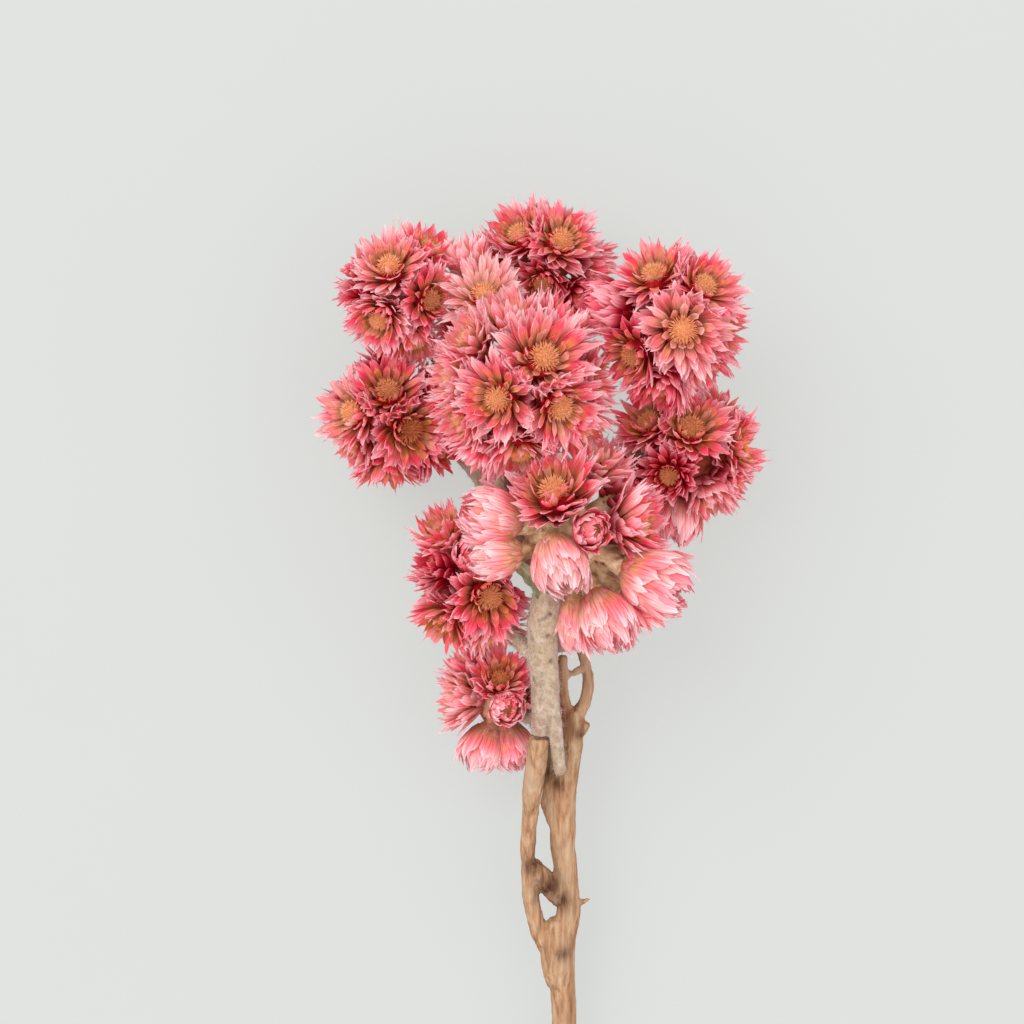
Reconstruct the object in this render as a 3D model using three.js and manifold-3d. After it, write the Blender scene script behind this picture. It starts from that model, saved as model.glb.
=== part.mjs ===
// A dried sprig of a pink everlasting aster, laid down on a table.
// Millimetres, +Z up. The stem runs along Y with its cut end at -Y and the flowers at +Y.
import * as THREE from "three";
import { mergeVertices } from "three/addons/utils/BufferGeometryUtils.js";
import Module from "manifold-3d";

const wasm = await Module();
wasm.setup();

// Driving dimensions of the sprig
const CLEARANCE = 0.3; // gap between pieces that meet
const SOCKET_CLEARANCE = 0.35; // gap round a twig in the heart of its bunch
const FLAT_CUT = 1.2; // how much of a bract may be pressed flat on the table
const SEED = 2;

// A flower head of size 1, measured from its base along its own axis
const HEAD = {
  baseRadius: 1.2,
  discRadius: 1.6,
  discRimHeight: 3.6,
  discTopHeight: 4.2,
  height: 5.2, // base to the tips of an open head
};
// Its two whorls of bracts. widest is the share of its length at which a bract is widest.
const OUTER = { rootRadius: 2.15, rootHeight: 1.8, length: 4.3, halfWidth: 0.95, widest: 0.66, steepest: 70 };
const INNER = { rootRadius: 1.85, rootHeight: 2.75, length: 3.9, halfWidth: 0.42, widest: 1, steepest: 82 };
const INNER_LIFT = 20; // degrees that an inner bract stands above an outer one
const KEEL = 0.68; // depth of an outer bract's keel
const SIDEWAYS = new THREE.Vector3(0.31, -0.52, 0.79); // no head aims this way
const LIFT_STEP = 4;
const SHORTEST = 0.5; // smallest share of its length that a crowded bract keeps

// Lift of the outer bracts above the head's own plane, in degrees
const OPEN = 20;
const HALF = 40;
const BELL = 70;

// The bunches: at is the end of the twig that carries a bunch, and reach is how far its bracts stand
// from there. A head is [aim x, y, z, lift, size, extra length of its stalk]. The last value of a few is
// how far the line of its aim starts beside that end.
const BUNCHES = [
  {
    name: "bunch_top_left",
    at: [-19, 79.4, 14],
    reach: 9,
    heads: [
      [-0.19, 0.54, 0.82, OPEN, 1.1, 0],
      [0.48, 0.83, 0.3, HALF, 1, 0.6],
      [0.56, -0.12, 0.82, OPEN, 0.9, 0.3],
      [-0.38, -0.49, 0.79, HALF, 0.95, 0],
      [-0.96, -0.29, 0.05, HALF, 0.95, -1.6],
      [0.28, -0.85, 0.45, HALF, 0.9, 0],
      [-0.81, 0.47, -0.35, OPEN, 0.95, -0.5],
      [0.3, 0.7, -0.65, OPEN, 1, 0],
      [-0.2, -0.4, -0.9, OPEN, 1, 0],
    ],
  },
  {
    name: "bunch_top_small",
    at: [-8.2, 76.6, 15],
    reach: 8.2,
    heads: [
      [0.09, 0.41, 0.91, OPEN, 1.1, 0.3],
      [-0.22, 0.97, 0.02, HALF, 1, 2.2],
      [-0.4, -0.1, -0.9, HALF, 0.85, 0],
    ],
  },
  {
    name: "bunch_top",
    at: [0.7, 84.6, 10.5],
    reach: 8.9,
    heads: [
      [0.29, 0.32, 0.9, OPEN, 1.1, 0.4],
      [-0.52, 0.48, 0.7, HALF, 1.05, 0],
      [-0.07, -0.54, 0.84, HALF, 0.8, -0.6],
      [-0.97, 0, 0.25, HALF, 0.9, 0],
      [0.97, -0.21, 0.15, HALF, 1, 0],
      [0.37, 0.92, -0.1, OPEN, 1, -1.6],
      [0.61, -0.68, 0.4, HALF, 0.8, 0],
      [-0.3, 0.2, -0.93, OPEN, 1, 1.2],
    ],
  },
  {
    name: "bunch_upper_right",
    at: [17.6, 75.2, 20],
    reach: 11,
    heads: [
      [0.1, -0.15, 0.98, OPEN, 1.25, 0],
      [-0.31, 0.71, 0.63, OPEN, 1.15, 0],
      [0.43, 0.52, 0.74, OPEN, 1.1, 0],
      [0.95, -0.1, 0.3, OPEN, 1.15, -2.1],
      [-0.63, -0.49, 0.6, OPEN, 1.05, 0],
      [0.55, -0.81, 0.2, HALF, 1.1, -2],
      [-0.93, 0.2, 0.3, BELL, 1.15, 0.4],
      [-0.2, -0.93, 0.3, HALF, 1, 0],
      [0.45, 0.84, -0.3, OPEN, 1, -0.8],
      [-0.35, 0.3, -0.88, OPEN, 1, 0],
      [0.4, -0.35, -0.85, OPEN, 1, 0],
    ],
  },
  {
    name: "bunch_lower_right",
    at: [19.5, 57.7, 11.5],
    reach: 10.4,
    heads: [
      [-0.57, 0.53, 0.63, OPEN, 1.05, 0.3],
      [0.09, 0.46, 0.88, OPEN, 1.15, 0],
      [0.94, 0.13, 0.3, OPEN, 1.1, -0.2],
      [0.88, -0.47, 0.1, HALF, 1, -1],
      [0.47, -0.81, 0.35, HALF, 1, -1.4],
      [-0.09, -0.98, 0.15, BELL, 1.1, 0.1],
      [-0.79, -0.5, 0.35, HALF, 0.95, 0],
      [-0.27, -0.33, 0.9, HALF, 0.85, -0.4],
      [0.66, 0.73, -0.2, OPEN, 1, 0.1],
      [-0.5, 0.3, -0.82, OPEN, 1, 0],
      [0.2, -0.35, -0.92, OPEN, 1, 1.2],
    ],
  },
  {
    name: "bunch_centre",
    at: [-2.5, 67, 22.5],
    reach: 11.8,
    heads: [
      [0.29, 0.33, 0.9, OPEN, 1.35, 0.3],
      [-0.34, -0.23, 0.91, OPEN, 1.15, 0],
      [0.51, -0.34, 0.79, OPEN, 1.15, 0],
      [-0.72, 0.58, 0.38, HALF, 1.05, 0],
      [-0.95, 0.1, 0.3, HALF, 1.1, 0],
      [-0.81, -0.47, 0.35, HALF, 1.05, 0],
      [-0.53, -0.85, 0.05, HALF, 1, 0.9],
      [-0.03, -0.92, 0.38, OPEN, 1.1, 0],
      [0.77, -0.6, 0.2, HALF, 1.1, 0.3],
      [-0.21, 0.91, 0.35, HALF, 1.1, 0],
      [0.54, 0.83, 0.12, HALF, 1.1, 0.3],
      [0.99, 0.09, -0.05, HALF, 1, 0],
      [-0.5, 0.1, -0.85, OPEN, 1, -0.5],
      [0.5, 0.2, -0.8, OPEN, 1, -0.5],
    ],
  },
  {
    name: "bunch_left",
    at: [-20.8, 63.2, 10.5],
    reach: 9.6,
    heads: [
      [0.03, 0.43, 0.9, OPEN, 1.1, 0.2],
      [-0.63, 0.05, 0.77, OPEN, 1.1, 0],
      [0.41, -0.26, 0.87, OPEN, 1.15, 0.2],
      [0.85, 0.4, 0.35, HALF, 0.95, 0],
      [0.81, -0.51, 0.3, HALF, 0.95, 0.9],
      [-0.71, -0.64, 0.3, OPEN, 1, -1.4],
      [-0.86, 0.5, 0.05, HALF, 0.95, -1.7],
      [-0.03, -0.99, 0.15, OPEN, 1, -0.2],
      [0.07, 0.99, -0.1, HALF, 0.9, 0],
      [-0.3, -0.1, -0.94, OPEN, 1, 1],
    ],
  },
  {
    name: "bunch_front",
    at: [3.4, 46.6, 20],
    reach: 12.7,
    heads: [
      [-0.18, 0.63, 0.75, OPEN, 1.35, 0],
      [0.36, 0.93, 0.12, HALF, 1.15, 0.8],
      [0.9, 0.22, 0.38, HALF, 1.2, 0],
      [-0.92, 0.25, 0.3, BELL, 1.25, 0.4, [0, 0.2, 2.4]],
      [-0.97, -0.02, 0.25, BELL, 1.1, -0.8, [0, -1.9, 2.2]],
      [0.28, -0.85, 0.45, BELL, 1.25, -5.4, [-2.3, 0.9, 4.85]],
      [0.86, -0.42, 0.3, BELL, 1.4, 3.4],
      [0.42, -0.86, 0.28, BELL, 1.25, 1.9],
      [0.14, -0.99, -0.02, BELL, 1.15, 0.8],
      [0.69, -0.72, -0.05, HALF, 1.2, 3.4],
      [0.34, 0.12, 0.93, BELL, 0.8, -2.4],
      [0.74, 0.67, -0.1, HALF, 1, -0.6],
      [0.5, -0.25, -0.82, OPEN, 1.1, -0.8],
      [-0.2, 0.4, -0.9, OPEN, 1.1, -1],
    ],
  },
  {
    name: "bunch_lower_left",
    at: [-8.8, 40.5, 13.5],
    reach: 9.6,
    heads: [
      [0.25, -0.22, 0.94, OPEN, 1.15, 0.4],
      [-0.5, 0.79, 0.35, HALF, 1, 1.3],
      [-0.86, 0.4, 0.3, HALF, 1, -1.7],
      [-0.02, 0.51, 0.86, BELL, 0.9, -0.6],
      [-0.99, -0.14, -0.05, OPEN, 1, -2.1],
      [-0.56, -0.7, 0.45, OPEN, 1, 0],
      [0.3, -0.92, 0.25, HALF, 1, 0],
      [-0.25, 0.25, -0.93, OPEN, 1, 0],
    ],
  },
  {
    name: "bunch_lowest",
    at: [-5.4, 24.1, 9.6],
    reach: 8.5,
    heads: [
      [-0.01, 0.49, 0.87, HALF, 0.85, -0.2],
      [-0.95, 0.03, 0.3, HALF, 1.05, -0.5],
      [-0.35, -0.92, 0.15, BELL, 1, 0.1],
      [0.26, -0.96, 0.05, BELL, 1, -0.3],
      [0.92, 0.16, 0.35, HALF, 0.85, 0],
      [0.12, -0.09, 0.99, BELL, 0.75, -0.8],
      [-0.67, 0.74, 0, HALF, 0.9, 0],
      [0.1, 0.1, -0.99, HALF, 1, 0.8],
    ],
  },
];
const CORE_SHARE = 0.36; // radius of a bunch's woolly core, as a share of its reach
// Bracts in each whorl of a head, by how far up it faces
const BRACTS_ABOVE = 7;
const BRACTS_BESIDE = 5;
const BRACTS_BELOW = 5;
const ABOVE = 0.36;
const BELOW = -0.25;

// Routes of the stems as [x, y, z, radius]. The wood is bare and brown, the shoots above it are felted.
const WOOD = {
  trunk: [
    [4.2, -94.1, 2, 2.1],
    [3.4, -75, 1.9, 1.95],
    [2.4, -54, 2.4, 1.8],
    [2.9, -36, 3.6, 1.6],
    [3.4, -22, 5.2, 1.7],
    [3.2, -16.5, 5.9, 1.75],
    [2.6, -13.4, 6.4, 2.35],
    [2.5, -9.4, 7, 2.5],
    [2.9, -6.5, 7.4, 1.7],
  ],
  left: [
    [2.1, -12, 6.7, 1.4],
    [-0.1, -8, 7.6, 1.25],
    [-1.1, -4, 8.4, 1.15],
    [-1.6, 1, 9.4, 1.1],
    [-1.6, 6, 10.6, 1],
    [-1.15, 11.5, 12.2, 1.35],
    [-0.7, 15, 13.4, 1.55],
    [-0.15, 19.5, 15.2, 1.35],
  ],
  right: [
    [2.9, -11, 6.8, 1.7],
    [3.9, -5.5, 7.5, 1.65],
    [3.7, -1, 8, 1.65],
    [3.2, 5, 8.8, 1.75],
    [3.2, 11.5, 9.8, 1.85],
    [3.8, 16, 10.6, 1.75],
    [4.4, 20.5, 11.3, 1.9],
    [4.8, 23, 11.7, 1.3],
  ],
  middle: [
    [2.6, 6.2, 8.6, 1],
    [1.2, 9.5, 9.2, 1.1],
    [1, 14, 10.6, 1.15],
    [1.8, 18, 11.2, 1.1],
    [3.4, 21, 11.4, 1],
  ],
  cross: [
    [2.9, -3.8, 8, 1.3],
    [1, -1.2, 8.9, 1.5],
    [-1.1, 1.6, 9.6, 1.2],
  ],
  twig_left: [
    [4, 21.6, 11.6, 0.9],
    [3.4, 24.6, 12, 0.75],
    [3.2, 27.6, 12.2, 0.7],
    [3.1, 30.5, 12.2, 0.7],
  ],
  twig_right: [
    [4.8, 21.6, 11.5, 0.95],
    [6.3, 24.6, 11.7, 0.8],
    [6.6, 27.6, 11.8, 0.75],
    [5.6, 31.5, 11.8, 0.75],
  ],
  bridge: [
    [3.4, 27.4, 12.2, 0.5],
    [5, 28.3, 12.1, 0.45],
    [6.5, 28.8, 11.8, 0.5],
  ],
  snag_right: [
    [4.4, 19.2, 11.4, 1],
    [5.7, 20.3, 12.4, 0.85],
    [6.4, 21.3, 13, 0.6],
  ],
  snag_thin: [
    [3.8, -5, 7.6, 0.6],
    [5.8, -4, 8.2, 0.42],
    [7, -3.4, 8.5, 0.35],
  ],
};
const SHOOTS = {
  shoot_front: {
    main: [
      [-0.1, 19.95, 15.35, 1.2],
      [0.1, 25, 17.2, 1.45],
      [0.3, 31, 19.4, 2],
      [0.4, 36, 20.6, 2.3],
      [1.2, 40, 20.4, 1.9],
      "bunch_front",
    ],
    beside: [
      [2.7, 14.4, 13.2, 0.8],
      [2.2, 19, 15.2, 0.95],
      [1.7, 24, 17.4, 0.95],
      [1.4, 29, 19.4, 1],
      [0.9, 33.5, 20.4, 0.9],
    ],
    to_lower_left: [
      [0.3, 30, 19, 1.2],
      [-2.6, 32.4, 17.4, 1.1],
      [-5.6, 36, 15.2, 1],
      "bunch_lower_left",
    ],
    to_lowest: [
      [0, 22.4, 16.2, 1],
      [-1.6, 22.2, 14, 1],
      [-3.6, 23, 11.6, 0.9],
      "bunch_lowest",
    ],
  },
  shoot_rear: {
    main: [
      [3.08, 30.95, 12.2, 0.75],
      [2.4, 35, 12, 1],
      [-0.6, 42, 11.2, 1.2],
      [-5, 49, 10.4, 1.3],
      [-8.2, 55, 10.2, 1.2],
      [-10, 62, 10.8, 1],
      [-9.6, 70, 12.6, 0.95],
      "bunch_top_small",
    ],
    to_left: [
      [-7.6, 53.8, 10.2, 1],
      [-11.2, 58, 9.8, 1],
      [-15.4, 60.8, 10, 0.95],
      "bunch_left",
    ],
    to_top_left: [
      [-10, 62, 10.8, 0.9],
      [-12.2, 67.6, 11.2, 0.9],
      [-15.4, 73.2, 12.2, 0.9],
      "bunch_top_left",
    ],
    to_top: [
      [-5, 49, 10.4, 1],
      [-3.4, 58, 9.2, 0.95],
      [-1.6, 68, 8.8, 0.95],
      [-0.2, 77, 9.4, 0.9],
      "bunch_top",
    ],
    to_centre: [
      [-5.8, 50.4, 10.4, 1],
      [-5.2, 56, 13, 1],
      [-4, 62, 17, 0.95],
      "bunch_centre",
    ],
  },
  shoot_right: {
    main: [
      [5.48, 31.93, 11.8, 0.8],
      [6.6, 37, 11.4, 1.05],
      [9, 43, 11, 1.2],
      [11, 49, 11, 1.2],
      [13, 57, 12.6, 1.05],
      [15, 66, 15.8, 1],
      "bunch_upper_right",
    ],
    to_lower_right: [
      [10, 46, 11, 1.05],
      [12.8, 51, 11, 1],
      [15.4, 54.8, 11, 0.95],
      "bunch_lower_right",
    ],
  },
};
const TWIG_TIP = 0.85; // radius of a twig at the heart of its bunch
const WOOD_SIDES = 7;
const SHOOT_SIDES = 6;
const LIMB_STEP = 6; // longest stretch between two rings of a stem
const SOCKET_SIDES = 7;

// A small curled leaf on the front shoot: [x, y, z, half width] along its midrib
const LEAF = [
  [0.6, 38.6, 21.6, 0.7],
  [-0.9, 41, 23.4, 0.95],
  [-2.6, 42.8, 24.6, 0.9],
  [-4.4, 43.9, 24.9, 0.15],
];
const LEAF_FACE = [-0.35, 0.25, 0.9];
const LEAF_THICKNESS = 0.7;

// Numbers between 0 and 1 that are the same on every run
function drawsFrom(seed) {
  let state = seed >>> 0;
  return () => {
    state = (state + 0x6d2b79f5) >>> 0;
    let t = Math.imul(state ^ (state >>> 15), 1 | state);
    t = (t + Math.imul(t ^ (t >>> 7), 61 | t)) ^ t;
    return ((t ^ (t >>> 14)) >>> 0) / 4294967296;
  };
}

const vector = (xyz) => new THREE.Vector3(xyz[0], xyz[1], xyz[2]);
const radians = THREE.MathUtils.degToRad;

function solidOf(geometry) {
  const bare = geometry.clone();
  bare.deleteAttribute("normal");
  bare.deleteAttribute("uv");
  const merged = mergeVertices(bare, 1e-5);
  const mesh = new wasm.Mesh({
    numProp: 3,
    vertProperties: merged.attributes.position.array,
    triVerts: new Uint32Array(merged.index.array),
  });
  return new wasm.Manifold(mesh);
}

function geometryOf(solid) {
  const mesh = solid.getMesh();
  const position = new Float32Array(mesh.numVert * 3);
  for (let i = 0; i < mesh.numVert; i++) {
    position.set(mesh.vertProperties.subarray(i * mesh.numProp, i * mesh.numProp + 3), i * 3);
  }
  const geometry = new THREE.BufferGeometry();
  geometry.setAttribute("position", new THREE.BufferAttribute(position, 3));
  geometry.setIndex(new THREE.BufferAttribute(mesh.triVerts, 1));
  geometry.computeVertexNormals();
  return geometry;
}

function geometryFrom(points, faces) {
  const geometry = new THREE.BufferGeometry().setFromPoints(points);
  geometry.setIndex(faces.flat());
  return geometry;
}

// A cut can leave crumbs, so the one large body is kept
function largestBody(solid) {
  return solid.decompose().reduce((best, body) => (body.volume() > best.volume() ? body : best));
}

// A flower head as one shell: its stalk, the cup, two staggered whorls of bracts and the disc of florets.
// walls are planes {normal, offset} that its bracts bend up from, so that neighbours stay clear.
class FlowerHead {
  constructor({ start, root, aim, lift, size, stalk, bracts, walls, draw }) {
    Object.assign(this, { start, root, aim, lift, size, stalk, walls, draw });
    this.columns = [...Array(bracts).keys()];
    this.across = SIDEWAYS.clone().cross(aim).normalize();
    this.along = aim.clone().cross(this.across);
    this.turn = draw() * Math.PI * 2;
    this.points = [];
    this.faces = [];
  }

  column(k) {
    return this.turn + (k * Math.PI * 2) / this.columns.length;
  }

  radial(angle) {
    return this.across
      .clone()
      .multiplyScalar(Math.cos(angle))
      .addScaledVector(this.along, Math.sin(angle));
  }

  place(angle, radius, height) {
    return this.root
      .clone()
      .addScaledVector(this.aim, this.stalk + height * this.size)
      .addScaledVector(this.radial(angle), radius * this.size);
  }

  add(point) {
    this.points.push(point);
    return this.points.length - 1;
  }

  // The corners of one bract of a whorl, at a share of its full length
  corners(angle, whorl, share, lift) {
    const foot = this.place(angle, whorl.rootRadius, whorl.rootHeight);
    const out = this.radial(angle);
    const side = this.aim.clone().cross(out);
    const run = out.clone().multiplyScalar(Math.cos(lift)).addScaledVector(this.aim, Math.sin(lift));
    const under = out.multiplyScalar(Math.sin(lift)).addScaledVector(this.aim, -Math.cos(lift));
    const length = whorl.length * this.size * share;
    const widest = foot.clone().addScaledVector(run, length * whorl.widest);
    const halfWidth = whorl.halfWidth * this.size;
    return {
      tip: foot.clone().addScaledVector(run, length),
      left: widest.clone().addScaledVector(side, -halfWidth),
      right: widest.clone().addScaledVector(side, halfWidth),
      keel: foot.clone().addScaledVector(run, length * 0.6).addScaledVector(under, KEEL * this.size),
    };
  }

  isClear(corners) {
    return this.walls.every(({ normal, offset }) =>
      Object.values(corners).every((point) => normal.dot(point) <= offset),
    );
  }

  // Lifts a bract until it clears its neighbours, then shortens it
  settle(angle, whorl, wanted) {
    const full = 1 + this.wobble(0.1);
    let corners;
    for (let lift = Math.min(wanted, whorl.steepest); lift <= whorl.steepest; lift += LIFT_STEP) {
      corners = this.corners(angle, whorl, full, radians(lift));
      if (this.isClear(corners)) return { corners, lift };
    }
    for (let share = full; share >= SHORTEST; share -= 0.06) {
      corners = this.corners(angle, whorl, share, radians(whorl.steepest));
      if (this.isClear(corners)) break;
    }
    return { corners, lift: whorl.steepest };
  }

  // An outer bract: pointed, flat on its face and keeled underneath
  outerBract(foot, valleyLeft, valleyRight, corners) {
    const { tip, left, right, keel } = corners;
    const [t, l, r, k] = [tip, left, right, keel].map((point) => this.add(point));
    const rim = [foot, valleyRight, r, t, l, valleyLeft];
    rim.forEach((from, i) => this.faces.push([from, rim[(i + 1) % rim.length], k]));
    this.faces.push([t, r, l], [l, r, valleyRight], [l, valleyRight, valleyLeft]);
  }

  // An inner bract: a strap that narrows to a blunt end
  innerBract(foot, valleyLeft, valleyRight, corners) {
    const [l, r] = [corners.left, corners.right].map((point) => this.add(point));
    this.faces.push([foot, valleyRight, r], [foot, r, l], [foot, l, valleyLeft]);
    this.faces.push([l, r, valleyRight], [l, valleyRight, valleyLeft]);
  }

  wobble(amount) {
    return (this.draw() - 0.5) * 2 * amount;
  }

  ring(shift, radius, height) {
    return this.columns.map((k) => this.add(this.place(this.column(k + shift), radius, height)));
  }

  shell() {
    const { columns } = this;
    const next = (k) => (k + 1) % columns.length;
    const start = this.add(this.start.clone());
    const base = this.ring(0, HEAD.baseRadius, 0);
    const valley = this.ring(0.5, OUTER.rootRadius, OUTER.rootHeight);
    const notch = this.ring(0, INNER.rootRadius, INNER.rootHeight);
    const before = (k) => valley[(k + columns.length - 1) % columns.length];

    const outer = columns.map((k) => this.settle(this.column(k), OUTER, this.lift + this.wobble(5)));
    for (const k of columns) {
      this.faces.push([start, base[next(k)], base[k]]);
      this.faces.push([base[k], base[next(k)], valley[k]]);
      this.outerBract(base[k], before(k), valley[k], outer[k].corners);
      this.faces.push([before(k), valley[k], notch[k]]);
    }
    for (const k of columns) {
      const lift = Math.max(outer[k].lift, outer[next(k)].lift) + INNER_LIFT;
      const inner = this.settle(this.column(k + 0.5), INNER, lift);
      this.innerBract(valley[k], notch[k], notch[next(k)], inner.corners);
    }

    const rim = this.ring(0, HEAD.discRadius, HEAD.discRimHeight);
    const top = this.add(this.place(0, 0, HEAD.discTopHeight));
    for (const k of columns) {
      this.faces.push([notch[k], notch[next(k)], rim[next(k)]]);
      this.faces.push([notch[k], rim[next(k)], rim[k]]);
      this.faces.push([rim[k], rim[next(k)], top]);
    }
    return geometryFrom(this.points, this.faces);
  }
}

// A round stem swept along its route, with the radius given at each station
function limb(stations, sides, grow = 0) {
  const curve = new THREE.CatmullRomCurve3(stations.map(vector));
  const steps = Math.max(2, Math.ceil(curve.getLength() / LIMB_STEP));
  const frames = curve.computeFrenetFrames(steps, false);
  const points = [];
  const faces = [];
  for (let i = 0; i <= steps; i++) {
    const at = curve.getUtoTmapping(i / steps) * (stations.length - 1);
    const station = Math.min(Math.floor(at), stations.length - 2);
    const radius =
      THREE.MathUtils.lerp(stations[station][3], stations[station + 1][3], at - station) + grow;
    const centre = curve.getPointAt(i / steps);
    for (let s = 0; s < sides; s++) {
      const angle = (s * Math.PI * 2) / sides;
      points.push(
        centre
          .clone()
          .addScaledVector(frames.normals[i], radius * Math.cos(angle))
          .addScaledVector(frames.binormals[i], radius * Math.sin(angle)),
      );
    }
  }
  for (let i = 0; i < steps; i++) {
    for (let s = 0; s < sides; s++) {
      const t = (s + 1) % sides;
      const [a, b, c, d] = [i * sides + s, i * sides + t, (i + 1) * sides + t, (i + 1) * sides + s];
      faces.push([a, b, c], [a, c, d]);
    }
  }
  const first = points.push(curve.getPointAt(0)) - 1;
  const last = points.push(curve.getPointAt(1)) - 1;
  for (let s = 0; s < sides; s++) {
    const t = (s + 1) % sides;
    faces.push([first, t, s], [last, steps * sides + s, steps * sides + t]);
  }
  return geometryFrom(points, faces);
}

// A narrow leaf, flat on its face and keeled underneath
function leaf(stations, grow = 0) {
  const curve = new THREE.CatmullRomCurve3(stations.map(vector));
  const face = vector(LEAF_FACE).normalize();
  const points = [];
  const faces = [];
  stations.forEach((station, i) => {
    const run = curve.getTangent(i / (stations.length - 1));
    const side = run.clone().cross(face).normalize();
    const centre = vector(station);
    points.push(centre.clone().addScaledVector(side, station[3] + grow));
    points.push(centre.clone().addScaledVector(face, 0.12 + grow));
    points.push(centre.clone().addScaledVector(side, -station[3] - grow));
    points.push(centre.clone().addScaledVector(face, -LEAF_THICKNESS - grow));
  });
  const last = (stations.length - 1) * 4;
  for (let i = 0; i < last; i += 4) {
    for (let s = 0; s < 4; s++) {
      const t = (s + 1) % 4;
      faces.push([i + s, i + 4 + t, i + t], [i + s, i + 4 + s, i + 4 + t]);
    }
  }
  faces.push([0, 1, 2], [0, 2, 3], [last, last + 2, last + 1], [last, last + 3, last + 2]);
  return geometryFrom(points, faces);
}

// Planes {normal, offset} halfway between a bunch and each other bunch
function bunchWalls(bunch) {
  const centre = vector(bunch.at);
  return BUNCHES.filter((entry) => entry !== bunch).map((other) => {
    const normal = vector(other.at).sub(centre);
    const share = bunch.reach / (bunch.reach + other.reach);
    const middle = centre.clone().addScaledVector(normal, share);
    normal.normalize();
    return { normal, offset: normal.dot(middle) - CLEARANCE / 2 };
  });
}

const rootOf = (bunch, head) => vector(bunch.at).add(vector(head[6] ?? [0, 0, 0]));
const stalkOf = (bunch, head) => bunch.reach + head[5] - HEAD.height * head[4];

// The middle of a head's cup
function cupOf(bunch, head) {
  const aim = vector(head).normalize();
  return rootOf(bunch, head).addScaledVector(aim, stalkOf(bunch, head) + HEAD.height * head[4] * 0.5);
}

// Planes that keep the bracts of one head away from its neighbours, the next bunch and the table
function headWalls(bunch, own) {
  const cup = cupOf(bunch, own);
  const walls = bunch.heads
    .filter((head) => head !== own)
    .map((head) => {
      const normal = cupOf(bunch, head).sub(cup);
      const middle = cup.clone().addScaledVector(normal, 0.5);
      normal.normalize();
      return { normal, offset: normal.dot(middle) - CLEARANCE / 2 };
    });
  const floor = { normal: new THREE.Vector3(0, 0, -1), offset: FLAT_CUT };
  return [...walls, ...bunchWalls(bunch), floor];
}

function bractsOf(head) {
  if (head[2] > ABOVE) return BRACTS_ABOVE;
  return head[2] > BELOW ? BRACTS_BESIDE : BRACTS_BELOW;
}

function bunchSolid(bunch, seed, hollows, table) {
  const draw = drawsFrom(seed);
  const start = vector(bunch.at);
  const core = new THREE.OctahedronGeometry(bunch.reach * CORE_SHARE, 0);
  let solid = solidOf(core.translate(start.x, start.y, start.z));
  for (const head of bunch.heads) {
    const [, , , lift, size] = head;
    const shell = new FlowerHead({
      start,
      root: rootOf(bunch, head),
      aim: vector(head).normalize(),
      lift,
      size,
      stalk: stalkOf(bunch, head),
      bracts: bractsOf(head),
      walls: headWalls(bunch, head),
      draw,
    }).shell();
    solid = solid.add(solidOf(shell));
  }
  return largestBody(solid.subtract(hollows).subtract(table));
}

// A route may end with the name of the bunch that it carries
function stationsOf(route) {
  return route.map((station) => {
    if (typeof station !== "string") return station;
    return [...BUNCHES.find((bunch) => bunch.name === station).at, TWIG_TIP];
  });
}

function joined(routes, sides, grow = 0) {
  return Object.values(routes)
    .map((route) => solidOf(limb(stationsOf(route), sides, grow)))
    .reduce((whole, part) => whole.add(part));
}

function named(name, solid, material) {
  const mesh = new THREE.Mesh(geometryOf(solid), material);
  mesh.name = name;
  return mesh;
}

const bractMaterial = new THREE.MeshStandardMaterial({ color: 0xe5708c, roughness: 0.7, metalness: 0 });
const woodMaterial = new THREE.MeshStandardMaterial({ color: 0xb98455, roughness: 0.8, metalness: 0 });
const feltMaterial = new THREE.MeshStandardMaterial({ color: 0xd6c9ae, roughness: 0.95, metalness: 0 });

const sprig = new THREE.Group();

// Everything below the surface that the sprig lies on. What reaches into it is pressed flat.
const table = solidOf(new THREE.BoxGeometry(300, 300, 20).translate(0, 0, -10));
const wood = largestBody(joined(WOOD, WOOD_SIDES).subtract(table));
sprig.add(named("woody_stem", wood, woodMaterial));

// Each piece keeps its clearance from what passes through it
let hollows = joined(WOOD, SOCKET_SIDES, CLEARANCE).add(solidOf(leaf(LEAF, CLEARANCE)));
for (const [name, routes] of Object.entries(SHOOTS)) {
  let shoot = joined(routes, SHOOT_SIDES);
  if (name === "shoot_front") shoot = shoot.add(solidOf(leaf(LEAF)));
  sprig.add(named(name, shoot, feltMaterial));
  hollows = hollows.add(joined(routes, SOCKET_SIDES, SOCKET_CLEARANCE));
}

BUNCHES.forEach((bunch, index) => {
  sprig.add(named(bunch.name, bunchSolid(bunch, SEED + index, hollows, table), bractMaterial));
});

export default sprig;
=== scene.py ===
"""A dried sprig of a pink everlasting aster, lying on a pale floor.

Lengths are in millimetres, and become metres when a mesh is written. The stem runs along Y, with its
cut end at -Y and the flowers at +Y, and Z points up from the floor.
"""

import logging
import math
from dataclasses import dataclass
from enum import Enum
from typing import Iterable, Mapping, Sequence

import bmesh
import bpy
import numpy as np
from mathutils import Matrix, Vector, noise

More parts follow.
